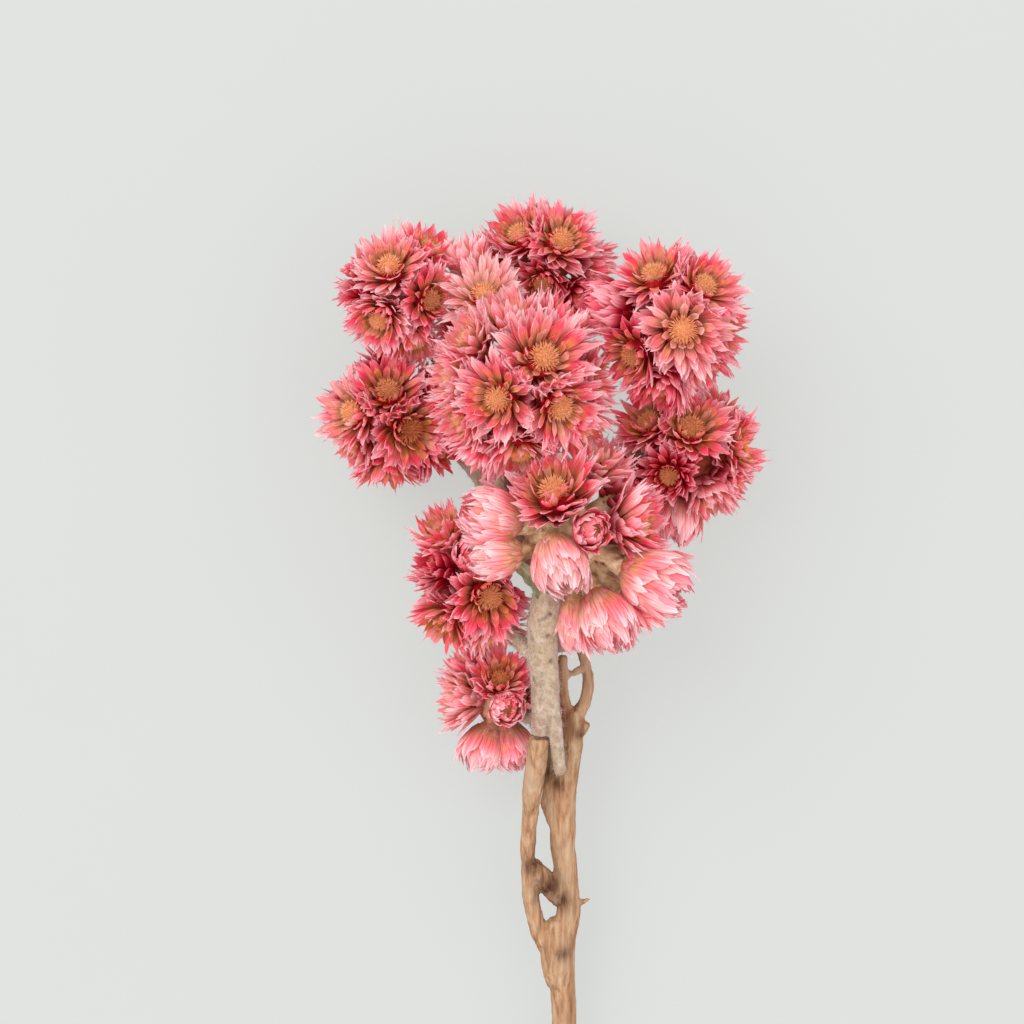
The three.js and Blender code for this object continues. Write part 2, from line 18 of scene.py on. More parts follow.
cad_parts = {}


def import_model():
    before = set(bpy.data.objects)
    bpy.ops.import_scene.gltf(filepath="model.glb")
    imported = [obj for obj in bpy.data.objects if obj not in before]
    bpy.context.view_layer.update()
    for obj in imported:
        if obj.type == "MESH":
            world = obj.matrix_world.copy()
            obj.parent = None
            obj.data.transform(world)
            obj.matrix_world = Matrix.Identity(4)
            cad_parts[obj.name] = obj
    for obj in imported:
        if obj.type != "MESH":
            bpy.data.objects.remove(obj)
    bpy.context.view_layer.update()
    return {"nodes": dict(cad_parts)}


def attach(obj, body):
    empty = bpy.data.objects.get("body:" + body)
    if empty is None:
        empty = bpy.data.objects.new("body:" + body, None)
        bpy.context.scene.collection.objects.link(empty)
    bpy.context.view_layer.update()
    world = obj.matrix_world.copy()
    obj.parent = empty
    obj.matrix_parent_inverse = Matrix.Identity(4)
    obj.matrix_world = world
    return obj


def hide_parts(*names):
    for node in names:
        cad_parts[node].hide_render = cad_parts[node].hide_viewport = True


log = logging.getLogger("sprig")

MM = 0.001
BODY = "root"
SEED = 7

HEAD_HEIGHT = 5.2
SIDEWAYS = (0.31, -0.52, 0.79)  # no head aims this way
BEHIND = -0.3  # aims that point lower than this face the floor
MINGLING = 0.7  # how far the bracts of two bunches that touch may mingle
TWIG_TIP = 0.85  # the radius of a twig where its bunch starts

Span = tuple[float, float]
Point = tuple[float, float, float]
Spot = tuple[float, float, float, float]
Routes = Mapping[str, Sequence[Spot | str]]
Walls = tuple[np.ndarray, np.ndarray]
Colour = tuple[float, float, float, float]
Stops = tuple[tuple[float, Colour], ...]
Value = bpy.types.NodeSocket | float | Colour


class Opening(Enum):
    """How far the outer bracts of a head stand above the head's own plane, in degrees."""

    OPEN = 20.0
    HALF = 40.0
    BELL = 84.0


@dataclass(frozen=True)
class Shades:
    """How a head departs from plain pink, in shares.

    Attributes:
        fading: how far the pink has gone to cream.
        crimson: how far the pink is a dark red.
        brown: how brown the disc is.
        straw: how far up the straw at the base of the bracts goes.
    """

    fading: float
    crimson: float
    brown: float
    straw: float = 0.0


class Tone(Enum):
    """The colour of a head."""

    CORAL = Shades(0.3, 0.08, 0.12)
    PALE = Shades(0.55, 0.0, 0.0)
    WHITE = Shades(1.0, 0.0, 0.0, 0.16)
    BLUSH = Shades(0.66, 0.0, 0.1, 0.14)
    STRAW = Shades(0.84, 0.0, 0.2, 0.34)
    AMBER = Shades(0.3, 0.1, 0.45, 0.1)
    DEEP = Shades(0.12, 0.42, 0.5, 0.1)
    OLIVE = Shades(0.15, 0.35, 0.8, 0.2)
    RED = Shades(0.0, 0.95, 0.6)


@dataclass(frozen=True)
class Head:
    """A flower head of a bunch.

    Attributes:
        aim: the direction in which it faces.
        opening: how open it is.
        size: its size, where 1 has bracts of 4.3 mm.
        extra: extra length of its stalk.
        tone: its colour.
        aside: how far the line of its aim starts beside the middle of the bunch.
    """

    aim: Point
    opening: Opening
    size: float
    extra: float
    tone: Tone
    aside: Point = (0.0, 0.0, 0.0)

    @property
    def behind(self) -> bool:
        """Whether it faces the floor."""
        return self.aim[2] < BEHIND


@dataclass(frozen=True)
class Bunch:
    """A round bunch of flower heads on one twig.

    Attributes:
        name: the bunch's CAD node.
        at: the end of the twig that carries it.
        reach: how far its bracts stand from there.
        heads: its flower heads.
        woolly: how much of its cups' skin is wool.
        tufts: wool between its stalks, as [x, y, z, radius].
    """

    name: str
    at: Point
    reach: float
    heads: tuple[Head, ...]
    woolly: float = 0.15
    tufts: tuple[Spot, ...] = ()


OPEN, HALF, BELL = Opening
CORAL, PALE, WHITE, BLUSH, STRAW, AMBER, DEEP, OLIVE, RED = Tone

# Each bunch is [name, at, reach, heads], and each head is [aim, opening, size, extra, tone, aside]
BUNCHES = (
    Bunch(
        "bunch_top_left",
        (-19, 79.4, 14),
        9,
        (
            Head((-0.19, 0.54, 0.82), OPEN, 1.1, 0, PALE),
            Head((0.48, 0.83, 0.3), HALF, 1, 0.6, CORAL),
            Head((0.56, -0.12, 0.82), OPEN, 0.9, 0.3, DEEP),
            Head((-0.38, -0.49, 0.79), HALF, 0.95, 0, CORAL),
            Head((-0.96, -0.29, 0.05), HALF, 0.95, -1.6, RED),
            Head((0.28, -0.85, 0.45), HALF, 0.9, 0, CORAL),
            Head((-0.81, 0.47, -0.35), OPEN, 0.95, -0.5, CORAL),
            Head((0.3, 0.7, -0.65), OPEN, 1, 0, CORAL),
            Head((-0.2, -0.4, -0.9), OPEN, 1, 0, CORAL),
        ),
    ),
    Bunch(
        "bunch_top_small",
        (-8.2, 76.6, 15),
        8.2,
        (
            Head((0.09, 0.41, 0.91), OPEN, 1.1, 0.3, WHITE),
            Head((-0.22, 0.97, 0.02), HALF, 1, 2.2, PALE),
            Head((-0.4, -0.1, -0.9), HALF, 0.85, 0, CORAL),
        ),
    ),
    Bunch(
        "bunch_top",
        (0.7, 84.6, 10.5),
        8.9,
        (
            Head((0.29, 0.32, 0.9), OPEN, 1.1, 0.4, CORAL),
            Head((-0.52, 0.48, 0.7), HALF, 1.05, 0, CORAL),
            Head((-0.07, -0.54, 0.84), HALF, 0.8, -0.6, DEEP),
            Head((-0.97, 0, 0.25), HALF, 0.9, 0, RED),
            Head((0.97, -0.21, 0.15), HALF, 1, 0, CORAL),
            Head((0.37, 0.92, -0.1), OPEN, 1, -1.6, PALE),
            Head((0.61, -0.68, 0.4), HALF, 0.8, 0, RED),
            Head((-0.3, 0.2, -0.93), OPEN, 1, 1.2, CORAL),
        ),
    ),
    Bunch(
        "bunch_upper_right",
        (17.6, 75.2, 20),
        11,
        (
            Head((0.1, -0.15, 0.98), OPEN, 1.25, 0, PALE),
            Head((-0.31, 0.71, 0.63), OPEN, 1.15, 0, CORAL),
            Head((0.43, 0.52, 0.74), OPEN, 1.1, 0, CORAL),
            Head((0.95, -0.1, 0.3), OPEN, 1.15, -2.1, CORAL),
            Head((-0.63, -0.49, 0.6), OPEN, 1.05, 0, DEEP),
            Head((0.55, -0.81, 0.2), HALF, 1.1, -2, CORAL),
            Head((-0.93, 0.2, 0.3), BELL, 1.15, 0.4, RED),
            Head((-0.2, -0.93, 0.3), HALF, 1, 0, RED),
            Head((0.45, 0.84, -0.3), OPEN, 1, -0.8, CORAL),
            Head((-0.35, 0.3, -0.88), OPEN, 1, 0, CORAL),
            Head((0.4, -0.35, -0.85), OPEN, 1, 0, CORAL),
        ),
    ),
    Bunch(
        "bunch_lower_right",
        (19.5, 57.7, 11.5),
        10.4,
        (
            Head((-0.57, 0.53, 0.63), OPEN, 1.05, 0.3, DEEP),
            Head((0.09, 0.46, 0.88), OPEN, 1.15, 0, AMBER),
            Head((0.94, 0.13, 0.3), OPEN, 1.1, -0.2, CORAL),
            Head((0.88, -0.47, 0.1), HALF, 1, -1, CORAL),
            Head((0.47, -0.81, 0.35), HALF, 1, -1.4, PALE),
            Head((-0.09, -0.98, 0.15), BELL, 1.1, 0.1, PALE),
            Head((-0.79, -0.5, 0.35), HALF, 0.95, 0, RED),
            Head((-0.27, -0.33, 0.9), HALF, 0.85, -0.4, RED),
            Head((0.66, 0.73, -0.2), OPEN, 1, 0.1, CORAL),
            Head((-0.5, 0.3, -0.82), OPEN, 1, 0, CORAL),
            Head((0.2, -0.35, -0.92), OPEN, 1, 1.2, CORAL),
        ),
    ),
    Bunch(
        "bunch_centre",
        (-2.5, 67, 22.5),
        11.8,
        (
            Head((0.29, 0.33, 0.9), OPEN, 1.35, 0.3, CORAL),
            Head((-0.34, -0.23, 0.91), OPEN, 1.15, 0, CORAL),
            Head((0.51, -0.34, 0.79), OPEN, 1.15, 0, CORAL),
            Head((-0.72, 0.58, 0.38), HALF, 1.05, 0, PALE),
            Head((-0.95, 0.1, 0.3), HALF, 1.1, 0, PALE),
            Head((-0.81, -0.47, 0.35), HALF, 1.05, 0, CORAL),
            Head((-0.53, -0.85, 0.05), HALF, 1, 0.9, CORAL),
            Head((-0.03, -0.92, 0.38), OPEN, 1.1, 0, CORAL),
            Head((0.77, -0.6, 0.2), HALF, 1.1, 0.3, CORAL),
            Head((-0.21, 0.91, 0.35), HALF, 1.1, 0, PALE),
            Head((0.54, 0.83, 0.12), HALF, 1.1, 0.3, CORAL),
            Head((0.99, 0.09, -0.05), HALF, 1, 0, CORAL),
            Head((-0.5, 0.1, -0.85), OPEN, 1, -0.5, CORAL),
            Head((0.5, 0.2, -0.8), OPEN, 1, -0.5, CORAL),
        ),
    ),
    Bunch(
        "bunch_left",
        (-20.8, 63.2, 10.5),
        9.6,
        (
            Head((0.03, 0.43, 0.9), OPEN, 1.1, 0.2, DEEP),
            Head((-0.63, 0.05, 0.77), OPEN, 1.1, 0, PALE),
            Head((0.41, -0.26, 0.87), OPEN, 1.15, 0.2, OLIVE),
            Head((0.85, 0.4, 0.35), HALF, 0.95, 0, RED),
            Head((0.81, -0.51, 0.3), HALF, 0.95, 0.9, RED),
            Head((-0.71, -0.64, 0.3), OPEN, 1, -1.4, PALE),
            Head((-0.86, 0.5, 0.05), HALF, 0.95, -1.7, RED),
            Head((-0.03, -0.99, 0.15), OPEN, 1, -0.2, OLIVE),
            Head((0.07, 0.99, -0.1), HALF, 0.9, 0, RED),
            Head((-0.3, -0.1, -0.94), OPEN, 1, 1, CORAL),
        ),
    ),
    Bunch(
        "bunch_front",
        (3.4, 46.6, 20),
        12.7,
        (
            Head((-0.18, 0.63, 0.75), OPEN, 1.35, 0, CORAL),
            Head((0.36, 0.93, 0.12), HALF, 1.15, 0.8, PALE),
            Head((0.9, 0.22, 0.38), HALF, 1.2, 0, CORAL),
            Head((-0.92, 0.25, 0.3), BELL, 1.25, 0.4, BLUSH, (0, 0.2, 2.4)),
            Head((-0.97, -0.02, 0.25), BELL, 1.1, -0.8, STRAW, (0, -1.9, 2.2)),
            Head((0.28, -0.85, 0.45), BELL, 1.25, -5.4, STRAW, (-2.3, 0.9, 4.85)),
            Head((0.86, -0.42, 0.3), BELL, 1.4, 3.4, BLUSH),
            Head((0.42, -0.86, 0.28), BELL, 1.25, 1.9, BLUSH),
            Head((0.14, -0.99, -0.02), BELL, 1.15, 0.8, STRAW),
            Head((0.69, -0.72, -0.05), HALF, 1.2, 3.4, PALE),
            Head((0.34, 0.12, 0.93), BELL, 0.8, -2.4, AMBER),
            Head((0.74, 0.67, -0.1), HALF, 1, -0.6, CORAL),
            Head((0.5, -0.25, -0.82), OPEN, 1.1, -0.8, CORAL),
            Head((-0.2, 0.4, -0.9), OPEN, 1.1, -1, CORAL),
        ),
        woolly=0.95,
        tufts=(
            (9.2, 43.6, 19.0, 2.3), (6.4, 40.6, 18.2, 1.9), (-0.6, 46.6, 20.5, 1.9),
            (7.6, 49.6, 19.0, 2.2), (12.0, 46.8, 18.4, 1.8),
        ),
    ),
    Bunch(
        "bunch_lower_left",
        (-8.8, 40.5, 13.5),
        9.6,
        (
            Head((0.25, -0.22, 0.94), OPEN, 1.15, 0.4, DEEP),
            Head((-0.5, 0.79, 0.35), HALF, 1, 1.3, AMBER),
            Head((-0.86, 0.4, 0.3), HALF, 1, -1.7, RED),
            Head((-0.02, 0.51, 0.86), BELL, 0.9, -0.6, RED),
            Head((-0.99, -0.14, -0.05), OPEN, 1, -2.1, PALE),
            Head((-0.56, -0.7, 0.45), OPEN, 1, 0, OLIVE),
            Head((0.3, -0.92, 0.25), HALF, 1, 0, PALE),
            Head((-0.25, 0.25, -0.93), OPEN, 1, 0, CORAL),
        ),
        woolly=0.3,
    ),
    Bunch(
        "bunch_lowest",
        (-5.4, 24.1, 9.6),
        8.5,
        (
            Head((-0.01, 0.49, 0.87), HALF, 0.85, -0.2, OLIVE),
            Head((-0.95, 0.03, 0.3), HALF, 1.05, -0.5, BLUSH),
            Head((-0.35, -0.92, 0.15), BELL, 1, 0.1, BLUSH),
            Head((0.26, -0.96, 0.05), BELL, 1, -0.3, BLUSH),
            Head((0.92, 0.16, 0.35), HALF, 0.85, 0, RED),
            Head((0.12, -0.09, 0.99), BELL, 0.75, -0.8, AMBER),
            Head((-0.67, 0.74, 0), HALF, 0.9, 0, CORAL),
            Head((0.1, 0.1, -0.99), HALF, 1, 0.8, CORAL),
        ),
        woolly=0.5,
    ),
)

# Each route as [x, y, z, radius] from station to station, and the bunch at its end
WOOD: Routes = {
    "trunk": (
        (4.2, -94.1, 2, 2.1), (3.4, -75, 1.9, 1.95), (2.4, -54, 2.4, 1.8), (2.9, -36, 3.6, 1.6),
        (3.4, -22, 5.2, 1.7), (3.2, -16.5, 5.9, 1.75), (2.6, -13.4, 6.4, 2.35), (2.5, -9.4, 7, 2.5),
        (2.9, -6.5, 7.4, 1.7),
    ),
    "left": (
        (2.1, -12, 6.7, 1.4), (-0.1, -8, 7.6, 1.25), (-1.1, -4, 8.4, 1.15), (-1.6, 1, 9.4, 1.1),
        (-1.6, 6, 10.6, 1), (-1.15, 11.5, 12.2, 1.35), (-0.7, 15, 13.4, 1.55),
        (-0.15, 19.5, 15.2, 1.35),
    ),
    "right": (
        (2.9, -11, 6.8, 1.7), (3.9, -5.5, 7.5, 1.65), (3.7, -1, 8, 1.65), (3.2, 5, 8.8, 1.75),
        (3.2, 11.5, 9.8, 1.85), (3.8, 16, 10.6, 1.75), (4.4, 20.5, 11.3, 1.9), (4.8, 23, 11.7, 1.3),
    ),
    "middle": (
        (2.6, 6.2, 8.6, 1), (1.2, 9.5, 9.2, 1.1), (1, 14, 10.6, 1.15), (1.8, 18, 11.2, 1.1),
        (3.4, 21, 11.4, 1),
    ),
    "cross": ((2.9, -3.8, 8, 1.3), (1, -1.2, 8.9, 1.5), (-1.1, 1.6, 9.6, 1.2)),
    "twig_left": (
        (4, 21.6, 11.6, 0.9), (3.4, 24.6, 12, 0.75), (3.2, 27.6, 12.2, 0.7), (3.1, 30.5, 12.2, 0.7),
    ),
    "twig_right": (
        (4.8, 21.6, 11.5, 0.95), (6.3, 24.6, 11.7, 0.8), (6.6, 27.6, 11.8, 0.75),
        (5.6, 31.5, 11.8, 0.75),
    ),
    "bridge": ((3.4, 27.4, 12.2, 0.5), (5, 28.3, 12.1, 0.45), (6.5, 28.8, 11.8, 0.5)),
    "snag_right": ((4.4, 19.2, 11.4, 1), (5.7, 20.3, 12.4, 0.85), (6.4, 21.3, 13, 0.6)),
    "snag_thin": ((3.8, -5, 7.6, 0.6), (5.8, -4, 8.2, 0.42), (7, -3.4, 8.5, 0.35)),
}
SHOOTS: Mapping[str, Routes] = {
    "shoot_front": {
        "main": (
            (-0.1, 19.95, 15.35, 1.2), (0.1, 25, 17.2, 1.45), (0.3, 31, 19.4, 2), (0.4, 36, 20.6, 2.3),
            (1.2, 40, 20.4, 1.9), "bunch_front",
        ),
        "beside": (
            (2.7, 14.4, 13.2, 0.8), (2.2, 19, 15.2, 0.95), (1.7, 24, 17.4, 0.95), (1.4, 29, 19.4, 1),
            (0.9, 33.5, 20.4, 0.9),
        ),
        "to_lower_left": (
            (0.3, 30, 19, 1.2), (-2.6, 32.4, 17.4, 1.1), (-5.6, 36, 15.2, 1), "bunch_lower_left",
        ),
        "to_lowest": ((0, 22.4, 16.2, 1), (-1.6, 22.2, 14, 1), (-3.6, 23, 11.6, 0.9), "bunch_lowest"),
    },
    "shoot_rear": {
        "main": (
            (3.08, 30.95, 12.2, 0.75), (2.4, 35, 12, 1), (-0.6, 42, 11.2, 1.2), (-5, 49, 10.4, 1.3),
            (-8.2, 55, 10.2, 1.2), (-10, 62, 10.8, 1), (-9.6, 70, 12.6, 0.95), "bunch_top_small",
        ),
        "to_left": ((-7.6, 53.8, 10.2, 1), (-11.2, 58, 9.8, 1), (-15.4, 60.8, 10, 0.95), "bunch_left"),
        "to_top_left": (
            (-10, 62, 10.8, 0.9), (-12.2, 67.6, 11.2, 0.9), (-15.4, 73.2, 12.2, 0.9), "bunch_top_left",
        ),
        "to_top": (
            (-5, 49, 10.4, 1), (-3.4, 58, 9.2, 0.95), (-1.6, 68, 8.8, 0.95), (-0.2, 77, 9.4, 0.9),
            "bunch_top",
        ),
        "to_centre": ((-5.8, 50.4, 10.4, 1), (-5.2, 56, 13, 1), (-4, 62, 17, 0.95), "bunch_centre"),
    },
    "shoot_right": {
        "main": (
            (5.48, 31.93, 11.8, 0.8), (6.6, 37, 11.4, 1.05), (9, 43, 11, 1.2), (11, 49, 11, 1.2),
            (13, 57, 12.6, 1.05), (15, 66, 15.8, 1), "bunch_upper_right",
        ),
        "to_lower_right": (
            (10, 46, 11, 1.05), (12.8, 51, 11, 1), (15.4, 54.8, 11, 0.95), "bunch_lower_right",
        ),
    },
}

# Dark marks on the wood as [x, y, z, radius]
SCARS = (
    (-1.0, 1.4, 10.0, 1.6), (1.2, -1.4, 9.6, 2.1), (2.9, -3.6, 8.8, 1.6), (0.8, 14.2, 11.6, 1.5),
    (2.4, 12.8, 10.9, 1.0), (5.2, 19.9, 12.6, 0.8), (3.1, -11.0, 8.6, 1.2), (1.7, -33.0, 5.2, 1.4),
    (3.4, -58.0, 3.6, 1.6), (3.6, -82.0, 3.4, 1.2),
)

# Creases and bruises on the felted shoots as [x, y, z, radius]
BRUISES = (
    (-2.2, 34.6, 21.2, 0.42), (-2.0, 34.0, 21.6, 0.42), (-1.7, 33.5, 21.9, 0.4),
    (-1.5, 32.9, 21.9, 0.42), (-1.5, 32.2, 21.8, 0.46), (-1.3, 31.5, 21.6, 0.4), (0.2, 35.9, 23.0, 0.3),
    (0.7, 36.1, 23.0, 0.3), (1.2, 36.5, 22.7, 0.3), (0.9, 33.6, 22.3, 0.25), (1.3, 30.2, 20.8, 0.3),
    (-0.9, 27.6, 19.2, 0.35),
)


def unit(vector: Sequence[float]) -> np.ndarray:
    """A direction of length 1."""
    array = np.asarray(vector, float)
    return array / np.linalg.norm(array)


def smooth(value: np.ndarray | float, low: float, high: float) -> np.ndarray:
    """A soft step from 0 at low to 1 at high."""
    t = np.clip((np.asarray(value, float) - low) / (high - low), 0.0, 1.0)
    return t * t * (3.0 - 2.0 * t)


def slab(columns: int, rows: int) -> bmesh.types.BMesh:
    """A sheet with a top and an underside.

    Args:
        columns: points along X.
        rows: points along Y.

    Returns:
        The sheet, from -1 to 1 along each axis.
    """
    form = bmesh.new()
    bmesh.ops.create_grid(form, x_segments=columns - 1, y_segments=rows - 1, size=1.0)
    bmesh.ops.solidify(form, geom=form.faces[:], thickness=1.0)
    heights = [vertex.co.z for vertex in form.verts]
    middle = (min(heights) + max(heights)) / 2
    for vertex in form.verts:
        vertex.co.z = 1.0 if vertex.co.z > middle else -1.0
    return form


def soften(form: bmesh.types.BMesh) -> None:
    """Shades all faces of a form smooth."""
    for face in form.faces:
        face.smooth = True


def meshed(name: str, form: bmesh.types.BMesh) -> bpy.types.Mesh:
    """Writes a form to a new mesh.

    Args:
        name: the mesh's name.
        form: the form, which is freed.

    Returns:
        The mesh.
    """
    mesh = bpy.data.meshes.new(name)
    form.to_mesh(mesh)
    form.free()
    return mesh


def merged(name: str, meshes: Iterable[bpy.types.Mesh]) -> bpy.types.Mesh:
    """Puts several meshes in one, with their attributes.

    Args:
        name: the new mesh's name.
        meshes: the meshes, which are removed.

    Returns:
        The mesh.
    """
    form = bmesh.new()
    for mesh in meshes:
        form.from_mesh(mesh)
        bpy.data.meshes.remove(mesh)
    return meshed(name, form)


def placed(name: str, data: bpy.types.ID) -> bpy.types.Object:
    """Puts an object in the scene.

    Args:
        name: its name.
        data: its mesh, curve, lamp or camera.

    Returns:
        The object.
    """
    holder = bpy.data.objects.new(name, data)
    bpy.context.scene.collection.objects.link(holder)
    return holder


def applied(holder: bpy.types.Object) -> bpy.types.Mesh:
    """Takes an object out of the scene and keeps its shape.

    Args:
        holder: the object, which is removed. Its data stays.

    Returns:
        Its mesh with its modifiers applied.
    """
    ready = holder.evaluated_get(bpy.context.evaluated_depsgraph_get())
    mesh = bpy.data.meshes.new_from_object(ready)
    bpy.data.objects.remove(holder)
    return mesh


def finished(name: str, mesh: bpy.types.Mesh, node: str, finish: bpy.types.Material) -> None:
    """Makes a piece of a mesh, dresses it and lets it ride on the sprig.

    Args:
        name: the piece's name.
        mesh: its mesh, in metres and in place.
        node: the CAD node that it stands for.
        finish: its material.
    """
    piece = placed(name, mesh)
    mesh.materials.append(finish)
    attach(piece, BODY)
    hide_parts(node)
    mesh.calc_loop_triangles()
    log.info("%s: %d triangles", name, len(mesh.loop_triangles))


@dataclass(frozen=True)
class Template:
    """A small form that is repeated and bent many times.

    Attributes:
        mesh: the form.
        places: its vertices as an array.
    """

    mesh: bpy.types.Mesh
    places: np.ndarray

    @classmethod
    def of(cls, name: str, form: bmesh.types.BMesh) -> "Template":
        """Keeps a finished form as a template.

        Args:
            name: the mesh's name.
            form: the form, which is freed.

        Returns:
            The template.
        """
        bmesh.ops.recalc_face_normals(form, faces=form.faces)
        soften(form)
        mesh = meshed(name, form)
        places = np.zeros(len(mesh.vertices) * 3)
        mesh.vertices.foreach_get("co", places)
        return cls(mesh, places.reshape(-1, 3))

    @classmethod
    def spike(cls) -> "Template":
        """A three-sided spike from 0 to 1 along Z, with radius 1 at its foot.

        Returns:
            The spike.
        """
        form = bmesh.new()
        bmesh.ops.create_cone(form, cap_ends=True, segments=3, radius1=1.0, radius2=0.0, depth=1.0)
        bmesh.ops.remove_doubles(form, verts=form.verts, dist=0.001)
        bmesh.ops.translate(form, verts=form.verts, vec=(0, 0, 0.5))
        return cls.of("spike", form)

    @classmethod
    def ball(cls) -> "Template":
        """A ball of radius 1.

        Returns:
            The ball.
        """
        form = bmesh.new()
        bmesh.ops.create_icosphere(form, subdivisions=2, radius=1.0)
        return cls.of("ball", form)

    def repeated(
        self, name: str, places: np.ndarray, marks: Mapping[str, np.ndarray | float]
    ) -> bpy.types.Mesh:
        """A mesh of many copies of the template.

        Args:
            name: the mesh's name.
            places: where each vertex of each copy goes, in millimetres, shaped (copies, vertices, 3).
            marks: for each attribute's name, its value at each vertex of each copy.

        Returns:
            The mesh, in metres.
        """
        form = bmesh.new()
        for _ in range(len(places)):
            form.from_mesh(self.mesh)
        mesh = meshed(name, form)
        mesh.vertices.foreach_set("co", (places * MM).astype(np.float32).ravel())
        for mark, values in marks.items():
            layer = mesh.attributes.new(mark, "FLOAT", "POINT")
            each = np.broadcast_to(values, places.shape[:2])
            layer.data.foreach_set("value", each.astype(np.float32).ravel())
        mesh.update()
        return mesh


@dataclass(frozen=True)
class Spikes:
    """Thin hairs, with a row for each.

    Attributes:
        feet: where they are rooted.
        ways: the directions in which they point.
        lengths: their lengths.
        thick: their radius at the foot.
    """

    feet: np.ndarray
    ways: np.ndarray
    lengths: np.ndarray
    thick: np.ndarray | float

    @classmethod
    def joined(cls, tufts: Sequence["Spikes"]) -> "Spikes":
        """All hairs of several tufts."""
        rows = zip(*((tuft.feet, tuft.ways, tuft.lengths, tuft.thick) for tuft in tufts))
        return cls(*(np.concatenate(row) for row in rows))

    def mesh(
        self,
        name: str,
        template: Template,
        marks: Mapping[str, np.ndarray | float],
        lowest: float = -math.inf,
    ) -> bpy.types.Mesh:
        """Copies a spike for each hair.

        Args:
            name: the mesh's name.
            template: a spike of length 1 along Z and radius 1.
            marks: attributes of the hairs, apart from how near its tip a vertex is.
            lowest: the height under which no hair reaches.

        Returns:
            The mesh.
        """
        form = template.places
        ways = self.ways / np.linalg.norm(self.ways, axis=1, keepdims=True)
        across = np.cross(ways, (0.217, 0.591, 0.777))  # no hair points this way
        across /= np.linalg.norm(across, axis=1, keepdims=True)
        along = np.cross(ways, across)
        flat = form[None, :, 0, None] * across[:, None, :] + form[None, :, 1, None] * along[:, None, :]
        rise = form[None, :, 2, None] * (ways * self.lengths[:, None])[:, None, :]
        places = self.feet[:, None, :] + flat * np.reshape(self.thick, (-1, 1, 1)) + rise
        places[..., 2] = np.maximum(places[..., 2], lowest)
        return template.repeated(name, places, {"tip": form[:, 2], **marks})


@dataclass(frozen=True)
class Axes:
    """Where a head stands and how it is turned.

    Attributes:
        middle: the middle of the bunch, where its stalk starts.
        root: the start of the line of its aim.
        aim: the direction in which the head faces.
        across: a direction at a right angle to it.
        along: the third direction.
        stalk: how far along that line the head's base is.
        size: the head's size.
    """

    middle: np.ndarray
    root: np.ndarray
    aim: np.ndarray
    across: np.ndarray
    along: np.ndarray
    stalk: float
    size: float

    @classmethod
    def of(cls, bunch: Bunch, head: Head) -> "Axes":
        """The axes of a head.

        Args:
            bunch: the bunch that the head is in.
            head: the head.

        Returns:
            Its axes.
        """
        aim = unit(head.aim)
        across = unit(np.cross(SIDEWAYS, aim))
        stalk = bunch.reach + head.extra - HEAD_HEIGHT * head.size
        middle = np.array(bunch.at, float)
        return cls(middle, middle + head.aside, aim, across, np.cross(aim, across), stalk, head.size)

    def radial(self, angle: np.ndarray) -> np.ndarray:
        """Directions away from the head's axis, one row for each angle."""
        angle = np.asarray(angle)[..., None]
        return np.cos(angle) * self.across + np.sin(angle) * self.along

    def leant(self, angle: np.ndarray, lean: np.ndarray) -> np.ndarray:
        """Directions that lean away from the head's aim, one row for each angle."""
        return np.cos(lean)[:, None] * self.aim + np.sin(lean)[:, None] * self.radial(angle)

    def place(self, angle: np.ndarray, radius: np.ndarray, height: np.ndarray | float) -> np.ndarray:
        """Places at an angle round the head's axis, in the head's own sizes.

        Args:
            angle: the angles, in radians.
            radius: the distances from the axis.
            height: the heights above the head's base.

        Returns:
            The places, one row for each angle.
        """
        up = (self.stalk + np.asarray(height) * self.size)[..., None] * self.aim
        out = (np.asarray(radius) * self.size)[..., None] * self.radial(angle)
        return self.root + up + out

    def cup(self) -> np.ndarray:
        """The middle of the head's cup."""
        return self.root + self.aim * (self.stalk + HEAD_HEIGHT * self.size * 0.5)


@dataclass(frozen=True)
class Whorl:
    """One ring of bracts of a head.

    Attributes:
        count: how many bracts it has.
        foot: the radius and the height at which they are rooted.
        length: their length.
        half_width: half their width.
        raised: degrees that they stand above the outer bracts.
        point: 0 for a toothed tip and 1 for a pointed one.
        gold: how far up the golden base goes.
    """

    count: int
    foot: Span
    length: float
    half_width: float
    raised: float
    point: float
    gold: float


WHORLS = (
    Whorl(11, (2.0, 1.2), 4.8, 0.7, -8, 0.5, -0.2),
    Whorl(13, (2.0, 1.8), 5.0, 0.68, 2, 0.5, -0.12),
    Whorl(13, (1.85, 2.3), 4.8, 0.62, 14, 0.55, -0.02),
    Whorl(12, (1.65, 2.75), 4.2, 0.52, 30, 0.6, 0.2),
    Whorl(11, (1.4, 3.1), 2.9, 0.4, 54, 0.7, 0.5),
)
SCALES = (
    Whorl(6, (1.25, 0.2), 2.8, 0.95, -6, 0.5, -0.3),
    Whorl(8, (1.65, 0.7), 3.9, 0.9, -8, 0.4, -0.26),
)


@dataclass
class Beds:
    """Where the bracts of a head are rooted and how they stand, with a row for each bract.

    Attributes:
        angle: their angles round the head.
        foot: the radius and the height of their roots.
        length: their lengths.
        half_width: half their widths.
        lift: degrees that they stand above the head's plane.
        bend: degrees that they bend outwards from root to tip.
        point: 0 for a toothed tip and 1 for a pointed one.
        gold: how far up the golden base goes.
        channel: how hollow they are across.
        twist: radians that they twist.
        sway: how far their tips stand aside, as shares of their lengths.
        crowded: how far their neighbours have raised them, from 0 to 1.
    """

    angle: np.ndarray
    foot: np.ndarray
    length: np.ndarray
    half_width: np.ndarray
    lift: np.ndarray
    bend: np.ndarray
    point: np.ndarray
    gold: np.ndarray
    channel: np.ndarray
    twist: np.ndarray
    sway: np.ndarray
    crowded: np.ndarray


